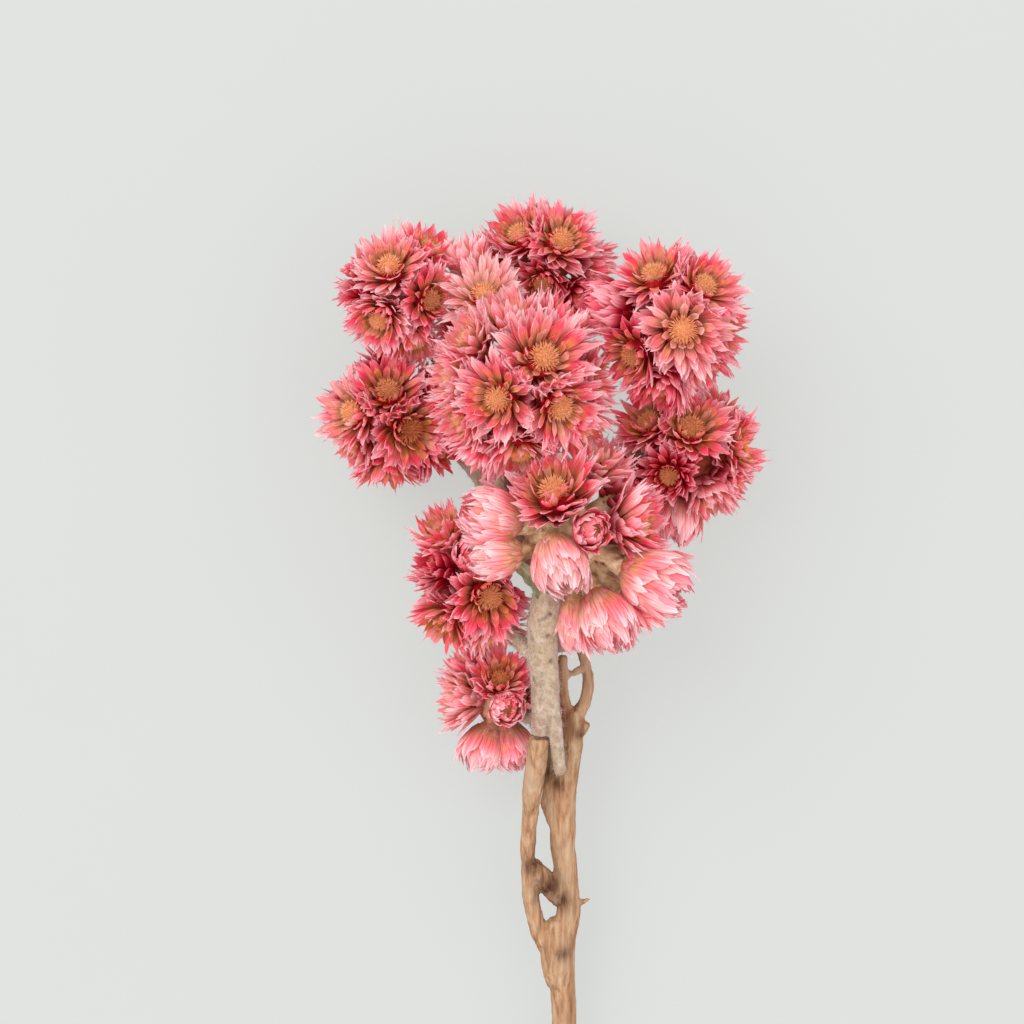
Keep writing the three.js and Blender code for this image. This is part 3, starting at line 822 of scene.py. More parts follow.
@dataclass(frozen=True)
class Bracts:
    """The papery bracts of a bunch.

    Attributes:
        rows: stations along a bract, as shares of its length.
        toothed: the width of a toothed bract at each station, as a share.
        pointed: the same of a pointed one.
        columns: points across it.
        thickness: its thickness.
        teeth: depths of the teeth of its tip, as shares of its length.
        notches: how much deeper every other one of them is.
        deepest: the deepest that one can be.
        steepest: the most that a bract may be raised, in degrees.
        closing: the most that one of a closed head may be.
        step: how much a crowded bract is raised at a time.
        slack: how far a bract may reach past the middle between two heads.
        leaning: how much further those on one side of an open head are raised, in degrees.
        scatter: how far a bract's lift departs from its whorl's, in degrees.
        bell_length: how much longer those of a closed head are.
        bell_width: how much wider they are.
        bell_calm: how much less they twist and sway.
        lowest: the height under which none of them reaches.
    """

    rows: tuple[float, ...] = (0.0, 0.3, 0.6, 0.8, 1.0)
    toothed: tuple[float, ...] = (0.42, 0.84, 1.0, 0.94, 0.7)
    pointed: tuple[float, ...] = (0.5, 0.9, 0.92, 0.66, 0.14)
    columns: int = 5
    thickness: float = 0.07
    teeth: Span = (0.0, 0.12)
    notches: Span = (0.04, 0.16)
    deepest: float = 0.44
    steepest: float = 82.0
    closing: float = 108.0
    step: float = 4.0
    slack: float = 0.9
    leaning: float = 19.0
    scatter: float = 12.0
    bell_length: float = 1.12
    bell_width: float = 1.6
    bell_calm: float = 0.4
    lowest: float = 0.04

    def template(self) -> Template:
        """A flat bract with a thickness, from -1 to 1 across and from 0 to 1 along.

        Returns:
            The bract.
        """
        form = slab(self.columns, len(self.rows))
        last = len(self.rows) - 1
        for vertex in form.verts:
            vertex.co.y = self.rows[round((vertex.co.y + 1) / 2 * last)]
        for edge in form.edges:
            edge.smooth = not any(abs(face.normal.z) < 0.5 for face in edge.link_faces)
        return Template.of("bract", form)

    def walls(self, bunch: Bunch, head: Head) -> Walls:
        """Planes that the bracts of a head bend up from: its neighbours', the next bunches' and the floor's.

        Args:
            bunch: the bunch that the head is in.
            head: the head.

        Returns:
            The planes' normals, one row each, and how far out each plane is.
        """
        centre = np.array(bunch.at)
        cup = Axes.of(bunch, head).cup()
        others = [Axes.of(bunch, other).cup() for other in bunch.heads if other is not head]
        normals = [unit(other - cup) for other in others]
        offsets = [float(normal @ (other + cup)) / 2 for normal, other in zip(normals, others)]
        for other in BUNCHES:
            if other is bunch:
                continue
            apart = np.array(other.at) - centre
            middle = centre + apart * (bunch.reach / (bunch.reach + other.reach))
            normals.append(unit(apart))
            offsets.append(float(unit(apart) @ middle) + MINGLING)
        normals.append(np.array([0.0, 0.0, -1.0]))
        offsets.append(0.0)
        return np.array(normals), np.array(offsets) + self.slack

    def beds(self, bunch: Bunch, head: Head, axes: Axes, draw: np.random.Generator) -> Beds:
        """Roots the bracts of a head and raises those that are crowded.

        Args:
            bunch: the bunch that the head is in.
            head: the head.
            axes: the head's axes.
            draw: the source of chance.

        Returns:
            Where the bracts are rooted and how they stand.
        """
        whorls = WHORLS[:-1] if head.behind else SCALES + WHORLS
        counts = [whorl.count for whorl in whorls]
        ring = np.repeat(np.arange(len(whorls)), counts)
        count = len(ring)
        bell = head.opening is BELL

        def each(name: str) -> np.ndarray:
            """A value of the whorl of each bract."""
            return np.array([getattr(whorl, name) for whorl in whorls])[ring]

        turns = draw.uniform(0, 2 * math.pi, len(whorls))[ring]
        order = np.concatenate([np.arange(number) / number for number in counts])
        angle = turns + 2 * math.pi * (order + draw.uniform(-0.4, 0.4, count) / each("count"))
        facing = np.cos(angle - draw.uniform(0, 2 * math.pi))
        foot = each("foot") + draw.uniform(-0.1, 0.1, (count, 2))
        length = each("length") * head.size * draw.uniform(0.76, 1.1, count)
        half_width = each("half_width") * head.size * draw.uniform(0.8, 1.15, count)
        wanted = head.opening.value + each("raised") + draw.uniform(-self.scatter, self.scatter, count)
        if not bell:
            wanted = wanted + self.leaning * facing
        wanted = np.clip(wanted, 4, self.closing if bell else self.steepest)
        beds = Beds(
            angle=angle,
            foot=foot,
            length=length * (self.bell_length if bell else 1.0),
            half_width=half_width * (self.bell_width if bell else 1.0),
            lift=wanted,
            bend=draw.uniform(-1.5, 1.5, count),
            point=np.clip(each("point") + draw.uniform(-0.35, 0.35, count), 0, 1),
            gold=each("gold") + draw.uniform(-0.05, 0.05, count),
            channel=draw.uniform(0.15, 0.6, count),
            twist=np.radians(draw.uniform(-30, 30, count)) * (self.bell_calm if bell else 1.0),
            sway=draw.uniform(-0.12, 0.12, count) * (self.bell_calm if bell else 1.0),
            crowded=np.zeros(count),
        )
        self.settle(beds, axes, self.walls(bunch, head))
        beds.crowded = np.clip((beds.lift - wanted) / 40, 0, 1)
        closed = (beds.lift - OPEN.value) / (BELL.value - OPEN.value)
        bend = 40 - 100 * closed
        beds.bend = np.where(np.abs(bend) < 4, 4.0, bend).clip(-76, 44) + beds.bend
        return beds

    def settle(self, beds: Beds, axes: Axes, walls: Walls) -> None:
        """Raises bracts until they clear their neighbours, and shortens those that can't be raised.

        Args:
            beds: how the bracts stand with nothing near, which is changed.
            axes: the head's axes.
            walls: the planes that they have to clear.
        """
        normals, offsets = walls
        feet = axes.place(beds.angle, beds.foot[:, 0], beds.foot[:, 1])
        out = axes.radial(beds.angle)
        beside = np.cross(axes.aim, out) * beds.half_width[:, None]
        shortest = WHORLS[1].length * axes.size * 0.5
        for _ in range(30):
            slope = np.radians(beds.lift)[:, None]
            run = np.cos(slope) * out + np.sin(slope) * axes.aim
            tip = feet + run * beds.length[:, None]
            belly = feet + run * beds.length[:, None] * 0.7
            corners = np.stack([tip, belly + beside, belly - beside])
            stuck = np.any(corners @ normals.T > offsets, axis=(0, 2))
            if not stuck.any():
                break
            loose = stuck & (beds.lift < self.steepest - 0.1)
            raised = np.minimum(beds.lift + self.step, self.steepest)
            shorter = stuck & ~loose & (beds.length > shortest)
            beds.lift = np.where(loose, raised, beds.lift)
            beds.length = np.where(shorter, beds.length * 0.94, beds.length)

    def bent(self, form: np.ndarray, axes: Axes, beds: Beds, draw: np.random.Generator) -> np.ndarray:
        """Bends copies of the template into the bracts of a head.

        Args:
            form: the template's vertices.
            axes: the head's axes.
            beds: where the bracts are rooted and how they stand.
            draw: the source of chance.

        Returns:
            The vertices, shaped (bracts, vertices, 3).
        """
        count = len(beds.angle)
        across, along, side = form.T
        column = np.rint((across + 1) / 2 * (self.columns - 1)).astype(int)
        point = beds.point[:, None]

        # The tip is cut into teeth, and the edges fray a little
        spread = np.abs(np.linspace(-1, 1, self.columns))
        teeth = draw.uniform(*self.teeth, (count, self.columns))
        odd = draw.integers(0, 2, count)[:, None] == np.arange(self.columns) % 2
        teeth += odd * draw.uniform(*self.notches, (count, self.columns))
        teeth += spread * 0.1 + point * spread * 0.08
        share = along * (1 - np.minimum(teeth, self.deepest)[:, column] * along**1.2)

        full = np.interp(along, self.rows, self.toothed)
        fine = np.interp(along, self.rows, self.pointed)
        width = full + (fine - full) * point
        width = width * (1 + draw.uniform(-0.1, 0.1, (count, len(along))) * (spread[column] > 0.9))
        width = width * beds.half_width[:, None]

        # Its midrib is an arc that starts steeper than it ends, or flatter where it closes a bell
        bend = np.radians(beds.bend)[:, None]
        start = np.radians(beds.lift)[:, None] + bend / 2
        turn = start - bend * share
        length = beds.length[:, None] / bend
        run = length * (np.sin(start) - np.sin(turn))
        rise = length * (np.cos(turn) - np.cos(start))

        # Across, it is hollow and twisted, and its tip sways
        twist = beds.twist[:, None] * share
        sideways = width * across
        hollow = width * (across**2 - 0.45) * beds.channel[:, None]
        lifted = hollow * np.cos(twist) + sideways * np.sin(twist) + side * self.thickness / 2
        aside = sideways * np.cos(twist) - hollow * np.sin(twist)
        aside = aside + beds.sway[:, None] * share**2 * beds.length[:, None]

        out = axes.radial(beds.angle)
        beside = np.cross(axes.aim, out)
        feet = axes.place(beds.angle, beds.foot[:, 0], beds.foot[:, 1])
        places = feet[:, None, :] + (run - np.sin(turn) * lifted)[..., None] * out[:, None, :]
        places = places + (rise + np.cos(turn) * lifted)[..., None] * axes.aim
        places = places + aside[..., None] * beside[:, None, :]
        places[..., 2] = np.maximum(places[..., 2], self.lowest)
        return places

    def mesh(self, bunch: Bunch, template: Template, draw: np.random.Generator) -> bpy.types.Mesh:
        """All the bracts of a bunch.

        Args:
            bunch: the bunch.
            template: a flat bract.
            draw: the source of chance.

        Returns:
            The mesh.
        """
        form = template.places
        places, marks = [], {}
        for head in bunch.heads:
            tone = head.tone.value
            axes = Axes.of(bunch, head)
            beds = self.beds(bunch, head, axes, draw)
            bracts = self.bent(form, axes, beds, draw)
            shape = bracts.shape[:2]
            # The crimson mark is partly the head's own dark red and partly painted shade: it grows deep
            # inside the bunch, towards the bracts' bases and on bracts that their neighbours crowd, where
            # shade falls.
            deep = np.linalg.norm(bracts - np.array(bunch.at), axis=2) / bunch.reach
            deep = 1 - smooth(deep, 0.6, 1.0)
            crimson = tone.crimson * 0.8 + deep * (0.95 + tone.crimson) * (1 - tone.straw * 2.6)
            crimson = crimson * (1 - 0.7 * form[:, 1]) + beds.crowded[:, None] * 0.1
            values = {
                "along": form[:, 1],
                "across": form[:, 0],
                "chance": draw.uniform(0, 1, (shape[0], 1)),
                "gold": beds.gold[:, None] + tone.straw,
                "fading": np.clip(tone.fading + draw.uniform(-0.34, 0.34, (shape[0], 1)), 0, 1),
                "crimson": np.clip(crimson, 0, 1),
            }
            places.append(bracts)
            for name, value in values.items():
                marks.setdefault(name, []).append(np.broadcast_to(value, shape))
        joined = {name: np.concatenate(values) for name, values in marks.items()}
        return template.repeated(bunch.name, np.concatenate(places), joined)


@dataclass(frozen=True)
class Discs:
    """The domes of florets in the middle of the heads, with their bristles.

    Attributes:
        radius: a dome's radius.
        dome: how far it stands up.
        height: the height of its foot above the head's base.
        bristle: the shortest and the longest bristle.
        thickness: a bristle's radius at its foot.
        bristles: bristles on a head that is seen.
        behind: bristles on a head that faces the floor.
        turn: the turn from one bristle to the next, in radians, which spreads them as seeds spread.
    """

    radius: float = 1.15
    dome: float = 0.9
    height: float = 3.2
    bristle: Span = (0.35, 0.9)
    thickness: float = 0.075
    bristles: int = 230
    behind: int = 60
    turn: float = 2.39996

    def domes(self, bunch: Bunch, template: Template) -> bpy.types.Mesh:
        """The domes of a bunch.

        Args:
            bunch: the bunch.
            template: a ball.

        Returns:
            The mesh.
        """
        form = template.places
        angle = np.arctan2(form[:, 1], form[:, 0])
        radius = np.hypot(form[:, 0], form[:, 1]) * self.radius
        height = self.height + form[:, 2] * self.dome
        places = [Axes.of(bunch, head).place(angle, radius, height) for head in bunch.heads]
        brown = np.array([head.tone.value.brown for head in bunch.heads])[:, None]
        return template.repeated("domes", np.stack(places), {"tip": 0.0, "brown": brown, "chance": 0.5})

    def mesh(
        self, bunch: Bunch, ball: Template, spike: Template, draw: np.random.Generator
    ) -> bpy.types.Mesh:
        """The domes of a bunch, with bristles spread over them in a spiral.

        Args:
            bunch: the bunch.
            ball: a ball.
            spike: a spike.
            draw: the source of chance.

        Returns:
            The mesh.
        """
        tufts, browns = [], []
        for head in bunch.heads:
            axes = Axes.of(bunch, head)
            count = self.behind if head.behind else self.bristles
            slope = np.arccos(1 - (np.arange(count) + 0.5) / count * 0.98)
            turn = np.arange(count) * self.turn + draw.uniform(-0.2, 0.2, count)
            height = self.height + np.cos(slope) * self.dome * 0.9
            feet = axes.place(turn, np.sin(slope) * self.radius, height)
            lean = np.clip(slope * 0.9 + draw.uniform(-0.3, 0.3, count), 0, 1.4)
            lengths = draw.uniform(*self.bristle, count) * head.size
            thick = np.full(count, self.thickness * head.size)
            tufts.append(Spikes(feet, axes.leant(turn, lean), lengths, thick))
            browns.append(np.full((count, 1), head.tone.value.brown))
        spikes = Spikes.joined(tufts)
        marks = {"brown": np.concatenate(browns), "chance": draw.uniform(0, 1, (len(spikes.feet), 1))}
        return merged("discs", [self.domes(bunch, ball), spikes.mesh("bristles", spike, marks)])


@dataclass(frozen=True)
class Cups:
    """The stalks and cups that carry the bracts, and the woolly core of a bunch.

    Attributes:
        profile: radius and height of the cup's outline. Heights under 0 are shares of the stalk.
        sides: facets round a cup.
        core: radius of the core, as a share of the bunch's reach.
        hairs: hairs on a cup with no wool. One that is all wool has five times as many.
        hair: the shortest and the longest hair.
        thickness: a hair's radius at its foot.
        down: how far down the stalk hairs start on a cup with little wool and on one that is all wool.
        lowest: the heights under which no cup and no hair reaches.
    """

    profile: tuple[Span, ...] = (
        (0.0, -1.0),
        (0.62, -0.9),
        (0.7, -0.4),
        (0.95, -0.1),
        (1.25, 0.25),
        (1.7, 0.9),
        (2.05, 1.8),
        (1.95, 2.6),
        (1.6, 3.3),
        (0.0, 3.5),
    )
    sides: int = 10
    core: float = 0.42
    hairs: int = 26
    hair: Span = (0.5, 1.3)
    thickness: float = 0.035
    down: Span = (-0.6, -2.4)
    lowest: Span = (0.05, 0.03)

    def template(self) -> Template:
        """A cup on its stalk, spun from its outline.

        Returns:
            The cup.
        """
        form = bmesh.new()
        line = [form.verts.new((radius, 0.0, height)) for radius, height in self.profile]
        edges = [form.edges.new(pair) for pair in zip(line, line[1:])]
        bmesh.ops.spin(
            form,
            geom=line + edges,
            cent=(0, 0, 0),
            axis=(0, 0, 1),
            angle=2 * math.pi,
            steps=self.sides,
            use_merge=True,
        )
        bmesh.ops.remove_doubles(form, verts=form.verts, dist=0.001)
        return Template.of("cup", form)

    def skins(self, bunch: Bunch, template: Template, draw: np.random.Generator) -> bpy.types.Mesh:
        """The cups of a bunch on their stalks.

        Args:
            bunch: the bunch.
            template: a cup.
            draw: the source of chance.

        Returns:
            The mesh.
        """
        x, y, z = template.places.T
        places = []
        for head in bunch.heads:
            axes = Axes.of(bunch, head)
            lumpy = np.hypot(x, y) * draw.uniform(0.94, 1.06, len(z))
            base = axes.root + axes.aim * axes.stalk
            ready = axes.place(np.arctan2(y, x), lumpy, np.maximum(z, 0.0))
            places.append(ready + np.maximum(-z, 0.0)[:, None] * (axes.middle - base))
        places = np.stack(places)
        places[..., 2] = np.maximum(places[..., 2], self.lowest[0])
        woolly = bunch.woolly * (1 - smooth(z, 0.9, 1.8))
        return template.repeated("cups", places, {"tip": 0.0, "woolly": woolly})

    def wool(self, bunch: Bunch, template: Template, draw: np.random.Generator) -> bpy.types.Mesh:
        """Wool on the cups of a bunch and on their stalks.

        Args:
            bunch: the bunch.
            template: a spike.
            draw: the source of chance.

        Returns:
            The mesh.
        """
        count = round(self.hairs * (1 + 4 * bunch.woolly))
        low, lower = self.down
        feet, ways = [], []
        for head in bunch.heads:
            axes = Axes.of(bunch, head)
            turn = draw.uniform(0, 2 * math.pi, count)
            height = draw.uniform(lower if bunch.woolly > 0.9 else low, 2.2, count)
            radius = np.interp(height, (-1, 0, 0.9, 1.8, 2.6), (0.65, 1.0, 1.7, 2.05, 1.95))
            feet.append(axes.place(turn, radius - 0.05, height))
            lean = draw.uniform(0.1, 1.3, count)
            ways.append(np.cos(lean)[:, None] * axes.radial(turn) + np.sin(lean)[:, None] * axes.aim)
        feet, ways = np.concatenate(feet), np.concatenate(ways)
        ways = ways + draw.normal(0, 0.35, ways.shape)
        spikes = Spikes(feet, ways, draw.uniform(*self.hair, len(feet)), self.thickness)
        return spikes.mesh("wool", template, {"woolly": bunch.woolly}, self.lowest[1])

    def cores(self, bunch: Bunch, template: Template, draw: np.random.Generator) -> bpy.types.Mesh:
        """The woolly core of a bunch, and the tufts of wool that stand out between its stalks.

        Args:
            bunch: the bunch.
            template: a ball.
            draw: the source of chance.

        Returns:
            The mesh.
        """
        form = template.places
        places = []
        for x, y, z, radius in ((*bunch.at, bunch.reach * self.core), *bunch.tufts):
            lumpy = form * radius * draw.uniform(0.88, 1.1, (len(form), 1))
            places.append(np.array((x, y, z)) + lumpy)
        return template.repeated("core", np.stack(places), {"tip": 0.0, "woolly": bunch.woolly})


@dataclass(frozen=True)
class FlowerBunch:
    """A bunch with its three pieces: bracts, discs and cups.

    Attributes:
        bunch: where its heads stand and how they are turned.
        bracts: how its bracts are made.
        discs: how its discs are made.
        cups: how its cups are made.
    """

    bunch: Bunch
    bracts: Bracts
    discs: Discs
    cups: Cups

    def build(
        self,
        forms: Mapping[str, Template],
        finishes: Mapping[str, bpy.types.Material],
        draw: np.random.Generator,
    ) -> None:
        """Builds and dresses the bunch.

        Args:
            forms: the forms that are repeated in it.
            finishes: the materials of its pieces.
            draw: the source of chance.
        """
        bunch, spike, ball = self.bunch, forms["spike"], forms["ball"]
        pieces = {"bracts": self.bracts.mesh(bunch, forms["bract"], draw)}
        pieces["discs"] = self.discs.mesh(bunch, ball, spike, draw)
        cups = [self.cups.skins(bunch, forms["cup"], draw), self.cups.wool(bunch, spike, draw)]
        pieces["cups"] = merged("cups", [*cups, self.cups.cores(bunch, ball, draw)])
        for kind, mesh in pieces.items():
            finished(bunch.name.replace("bunch", kind), mesh, bunch.name, finishes[kind])


@dataclass(frozen=True)
class Limbs:
    """Stems that are fused where they meet, with bark or felt on them.

    Attributes:
        name: the CAD node that they stand for.
        routes: the stems' routes.
        marks: dark marks on them.
        mark: the name of the marks' attribute.
        fineness: the size of their facets.
        grooves: depth of the grooves along them.
        lumps: height of their lumps.
        hairs: how many hairs they have.
        dent: depth of a dark mark.
        hair: the usual length of a hair.
        thickness: a hair's radius at its foot.
        lowest: the heights under which no skin and no hair reaches.
    """

    name: str
    routes: Routes
    marks: Sequence[Spot]
    mark: str
    fineness: float
    grooves: float
    lumps: float
    hairs: int
    dent: float = 0.16
    hair: float = 0.7
    thickness: float = 0.035
    lowest: Span = (0.01, 0.02)

    def tube(self, route: Sequence[Spot | str]) -> bpy.types.Mesh:
        """A round stem.

        Args:
            route: its stations, with the name of a bunch where it ends in one.

        Returns:
            The mesh.
        """
        ends = {bunch.name: (*bunch.at, TWIG_TIP) for bunch in BUNCHES}
        stations = [ends[station] if isinstance(station, str) else station for station in route]
        curve = bpy.data.curves.new("route", "CURVE")
        curve.dimensions = "3D"
        curve.bevel_depth = MM
        curve.bevel_resolution = 4
        curve.use_fill_caps = True
        curve.resolution_u = 10
        spline = curve.splines.new("BEZIER")
        spline.bezier_points.add(len(stations) - 1)
        for point, (x, y, z, radius) in zip(spline.bezier_points, stations):
            point.co = Vector((x, y, z)) * MM
            point.handle_left_type = point.handle_right_type = "AUTO"
            point.radius = radius
        mesh = applied(placed("route", curve))
        bpy.data.curves.remove(curve)
        return mesh

    def fused(self) -> bpy.types.Mesh:
        """The stems as one skin.

        Returns:
            The mesh.
        """
        tubes = merged("stems", [self.tube(route) for route in self.routes.values()])
        holder = placed("stems", tubes)
        remesh = holder.modifiers.new("fuse", "REMESH")
        remesh.mode = "VOXEL"
        remesh.voxel_size = self.fineness * MM
        mesh = applied(holder)
        bpy.data.meshes.remove(tubes)
        return mesh

    def relief(self, x: float, y: float, z: float) -> float:
        """How far the skin stands out at a place, with its grooves, cracks, lumps and grain.

        Args:
            x: the place across the stem.
            y: the place along the stem.
            z: the place's height.

        Returns:
            The push along the skin's normal.
        """
        groove = noise.noise(Vector((x * 1.9, y * 0.16, z * 1.9)))
        crack = -abs(noise.noise(Vector((x * 3.1 + 9, y * 0.22, z * 3.1))))
        lump = noise.noise(Vector((x * 0.5, y * 0.22 + 4, z * 0.5)))
        grain = noise.noise(Vector((x * 2.2, y * 1.3, z * 2.2)))
        return self.grooves * (groove + crack * 1.2 + 0.35) + self.lumps * (lump + grain * 0.35)

    def weathered(self, mesh: bpy.types.Mesh) -> None:
        """Gives the skin its relief and its dark marks.

        Args:
            mesh: the skin, which is changed.
        """
        form = bmesh.new()
        form.from_mesh(mesh)
        for _ in range(2):
            bmesh.ops.smooth_vert(
                form, verts=form.verts, factor=0.5, use_axis_x=True, use_axis_y=True, use_axis_z=True
            )
        form.normal_update()
        layer = form.verts.layers.float.new(self.mark)
        tip = form.verts.layers.float.new("tip")
        for vertex in form.verts:
            x, y, z = vertex.co / MM
            far = [math.dist((x, y, z), mark[:3]) / mark[3] for mark in self.marks]
            dark = math.exp(-(min(far) ** 2))
            vertex.co += vertex.normal * (self.relief(x, y, z) - self.dent * dark) * MM
            vertex.co.z = max(vertex.co.z, self.lowest[0] * MM)
            vertex[layer] = dark
            vertex[tip] = 0.0
        soften(form)
        form.to_mesh(mesh)
        form.free()

    def fur(self, mesh: bpy.types.Mesh, template: Template, draw: np.random.Generator) -> bpy.types.Mesh:
        """Hairs on the skin.

        Args:
            mesh: the skin.
            template: a spike.
            draw: the source of chance.

        Returns:
            The mesh.
        """
        count = len(mesh.vertices)
        feet, ways = np.zeros(count * 3), np.zeros(count * 3)
        mesh.vertices.foreach_get("co", feet)
        mesh.vertex_normals.foreach_get("vector", ways)
        pick = draw.integers(0, count, self.hairs)
        feet, ways = feet.reshape(-1, 3)[pick] / MM, ways.reshape(-1, 3)[pick]
        feet = feet - ways * 0.05
        ways = ways * 0.55 + draw.normal(0, 0.55, ways.shape)
        spikes = Spikes(feet, ways, self.hair * draw.uniform(0.4, 1.3, self.hairs), self.thickness)
        return spikes.mesh("fur", template, {self.mark: 0.0}, self.lowest[1])

    def build(
        self, name: str, slot: str, finish: bpy.types.Material, spike: Template, draw: np.random.Generator
    ) -> None:
        """Builds and dresses the stems.

        Args:
            name: the piece's name.
            slot: not used.
            finish: their material.
            spike: a spike.
            draw: the source of chance.
        """
        skin = self.fused()
        self.weathered(skin)
        if self.hairs:
            skin = merged(self.name, [skin, self.fur(skin, spike, draw)])
        finished(name, skin, self.name, finish)


def smooth_path(share: float, values: np.ndarray) -> float:
    """A value between evenly spaced ones, on a soft curve through them.

    Args:
        share: how far along the values, from 0 to 1.
        values: the values.

    Returns:
        The value.
    """
    last = len(values) - 1
    share = min(max(share, 0.0), 1.0)
    index = min(int(share * last), last - 1)
    t = share * last - index
    before, after = values[max(index - 1, 0)], values[min(index + 2, last)]
    start, end = values[index], values[index + 1]
    bend = (end - before) / 2, (after - start) / 2
    return float(
        (2 * t**3 - 3 * t**2 + 1) * start
        + (t**3 - 2 * t**2 + t) * bend[0]
        + (-2 * t**3 + 3 * t**2) * end
        + (t**3 - t**2) * bend[1]
    )


@dataclass(frozen=True)
class CurledLeaf:
    """The small dry leaf on the front shoot.

    Attributes:
        stations: [x, y, z, half width] along its midrib.
        face: the way that it faces.
        thickness: its thickness.
    """

    stations: tuple[Spot, ...] = (
        (0.6, 38.6, 21.6, 0.7),
        (-0.9, 41.0, 23.4, 0.95),
        (-2.6, 42.8, 24.6, 0.9),
        (-4.4, 43.9, 24.9, 0.15),
    )
    face: Point = (-0.35, 0.25, 0.9)
    thickness: float = 0.28

    def mesh(self) -> bpy.types.Mesh:
        """A blade that is bent along its midrib and folded across it.

        Returns:
            The mesh.
        """
        form = slab(9, 17)
        columns = np.array(self.stations).T
        face = unit(self.face)
        across_layer = form.verts.layers.float.new("across")
        along_layer = form.verts.layers.float.new("along")
        for vertex in form.verts:
            across, along, top = vertex.co.x, (vertex.co.y + 1) / 2, vertex.co.z / 2
            centre = np.array([smooth_path(along, column) for column in columns])
            before = np.array([smooth_path(along - 0.01, column) for column in columns[:3]])
            run = unit(centre[:3] - before)
            beside = unit(np.cross(run, face))
            width = centre[3] * (1 + 0.12 * math.sin(along * 23 + across * 2))
            fold = 0.5 * width * across**2 + 0.06 * math.sin(along * 31) * across
            lift = fold + top * self.thickness * (1 - 0.6 * abs(across))
            vertex[across_layer] = across
            vertex[along_layer] = along
            vertex.co = Vector(centre[:3] + beside * width * across + np.cross(beside, run) * lift) * MM
        bmesh.ops.recalc_face_normals(form, faces=form.faces)
        soften(form)
        return meshed("leaf", form)

    def build(self) -> None:
        """Builds and dresses the leaf."""
        finished("curled_leaf", self.mesh(), "shoot_front", DryLeaf().material())


def paint(red: float, green: float, blue: float, strength: float = 0.55) -> Colour:
    """A colour given in 0 to 255 on the screen, as the light that a shader takes.

    Args:
        red: its red.
        green: its green.
        blue: its blue.
        strength: how much of it a surface gives back. Under these lamps 0.55 shows it as it is given.

    Returns:
        The colour, with its alpha.
    """
    light = []
    for value in (red, green, blue):
        share = value / 255
        linear = share / 12.92 if share <= 0.04045 else ((share + 0.055) / 1.055) ** 2.4
        light.append(linear * strength)
    return (*light, 1.0)


def vivid(red: float, green: float, blue: float) -> Colour:
    """A colour of something that shades itself, such as a crowded bunch."""
    return paint(red, green, blue, 0.98)


